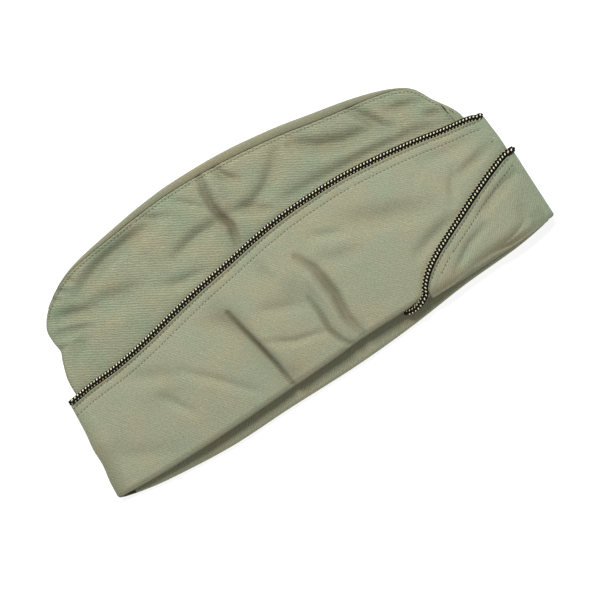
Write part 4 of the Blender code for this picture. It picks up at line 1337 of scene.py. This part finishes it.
# Where the rows start and end, in shares of LENGTH, and how far above the base edge they stop
ROW_START, ROW_END = 0.022, 0.972
FLAP_ROW_STARTS = (0.732, 0.752)
FLAP_ROW_END = 0.985
BASE_CLEAR = 1.5 * MM


def stitch_row(points, seed):
    """Stitches along a path on the cloth, as parts for one joined mesh; a few have worn away."""
    rng = np.random.default_rng(seed)
    at, p, t, n = along_path(points, STITCH_PATH_GAP)
    parts = []
    for s in np.arange(STITCH / 2, at[-1] - STITCH / 2, STITCH):
        if rng.random() < MISSING:
            continue
        k = min(int(s / STITCH_PATH_GAP), len(p) - 1)
        lean = math.radians(rng.normal(STITCH_LEAN, LEAN_SPREAD))
        across = np.cross(n[k], t[k])
        long_axis = math.cos(lean) * t[k] + math.sin(lean) * across
        middle = p[k] - np.array([CENTRE[0], CENTRE[1], 0]) + n[k] * THREAD_LIFT
        parts.append(set_down(THREAD_BALL[0], middle, (long_axis, np.cross(n[k], long_axis), n[k]),
                              THREAD_SIZE))
    return parts


def curtain_stitches():
    parts = []
    for k, (below, flap_start) in enumerate(zip(STITCH_ROWS, FLAP_ROW_STARTS)):
        u = np.linspace(ROW_START * LENGTH, ROW_END * LENGTH, 400)
        slope = np.hypot(1, slope_of(PIPING_RIGHT, u))
        v = up_of(PIPING_RIGHT, u) - edge_drop(PIPING_RIGHT, u) - below * slope
        z = body(u, v) + edge_relief(below * np.ones(400), u)
        parts += stitch_row(np.column_stack([u, v, z]), seed=3 + k)
        u = np.linspace(flap_start * LENGTH, FLAP_ROW_END * LENGTH, 300)
        slope = np.hypot(1, slope_of(FLAP_EDGE, u))
        v = up_of(FLAP_EDGE, u) - edge_drop(FLAP_EDGE, u) - below * slope
        relief = edge_relief(below * np.ones(300), u) * FLAP_RELIEF
        z = body(u, v) + STEP + relief - fold_lines(FLAP_FOLDS, u, v)[0]
        inside = v > flap_base(u) + BASE_CLEAR
        parts += stitch_row(np.column_stack([u, v, z])[inside], seed=5 + k)
    return parts


def crown_stitches():
    k = np.arange(OUTLINE_POINTS)
    k = k[STRIP_SHARE[k] > 0.02]
    edge = OUTLINE[k] + INWARD[k] * (STRIP_SHARE[k] * TOP_STRIP + SEAM_GAP / 2)[:, None]
    at = edge + INWARD[k] * SEAM_STITCH
    z = crown_side(at[:, 0], at[:, 1], 1) + seam_relief(SEAM_STITCH) * blend(STRIP_SHARE[k], 0.0, 0.2)
    return stitch_row(np.column_stack([at, z]), seed=9)


for name, parts, slot in (("stitches_curtain", curtain_stitches(), "curtain_twill"),
                          ("stitches_crown", crown_stitches(), "crown_twill")):
    rows = joined(name, parts, [THREAD_BALL[1]] * len(parts), [STITCH_SHADE_THREAD], [0] * len(parts))
    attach(rows, "root")
    print(name, len(parts), "stitches")

# %% [markdown]
# ## The tacks
# A few stitches were made by hand. A white tack and a green one hold the front end of the upper curtain,
# and two green ones hold the end of the strip's seam. Each is one length of the same thread, turned as
# it lies. A row gives its place along and up, how far the cloth lies below the upper side, and its turn
# in degrees.

# %% Tacks
WHITE_THREAD = floss("white_cotton_thread", "#d8dcd2", 0.8, 0.0, 0.1)
GREEN_TACK, WHITE_TACK = 0, 1
TACKS = ((0.9795, 0.4135, 0.0, 8, WHITE_TACK), (0.9730, 0.4060, 0.0, 20, GREEN_TACK),
         (0.9397, 0.617, STEP, 75, GREEN_TACK), (0.9425, 0.606, STEP, 75, GREEN_TACK))


def tack(along, up, drop, lean):
    """One short hand stitch that lies on the cloth, as points for a joined mesh."""
    u, v = along * LENGTH, up * HEIGHT
    place = np.array([u - CENTRE[0], v - CENTRE[1], float(body(u, v)) - drop + THREAD_SIZE[2] / 2])
    cos, sin = math.cos(math.radians(lean)), math.sin(math.radians(lean))
    axes = np.array([(cos, sin, 0), (-sin, cos, 0), (0, 0, 1)])
    return set_down(THREAD_BALL[0], place, axes, THREAD_SIZE)


tacks = joined("tacks", [tack(*row[:4]) for row in TACKS], [THREAD_BALL[1]] * len(TACKS),
               [STITCH_SHADE_THREAD, WHITE_THREAD], [row[4] for row in TACKS])
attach(tacks, "root")
print("tacks", len(TACKS))

# %% [markdown]
# ## Close
# The dressed cap's box is set beside the solid model's, and both are printed.

# %% Sizes of the solid model and the dressed cap
SIZES = {"cad": [list(c) for c in CAD_BOX], "visual": [list(c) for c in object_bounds()]}
for label, (low, high) in SIZES.items():
    print(label, [round((b - a) / MM, 1) for a, b in zip(low, high)], "mm")
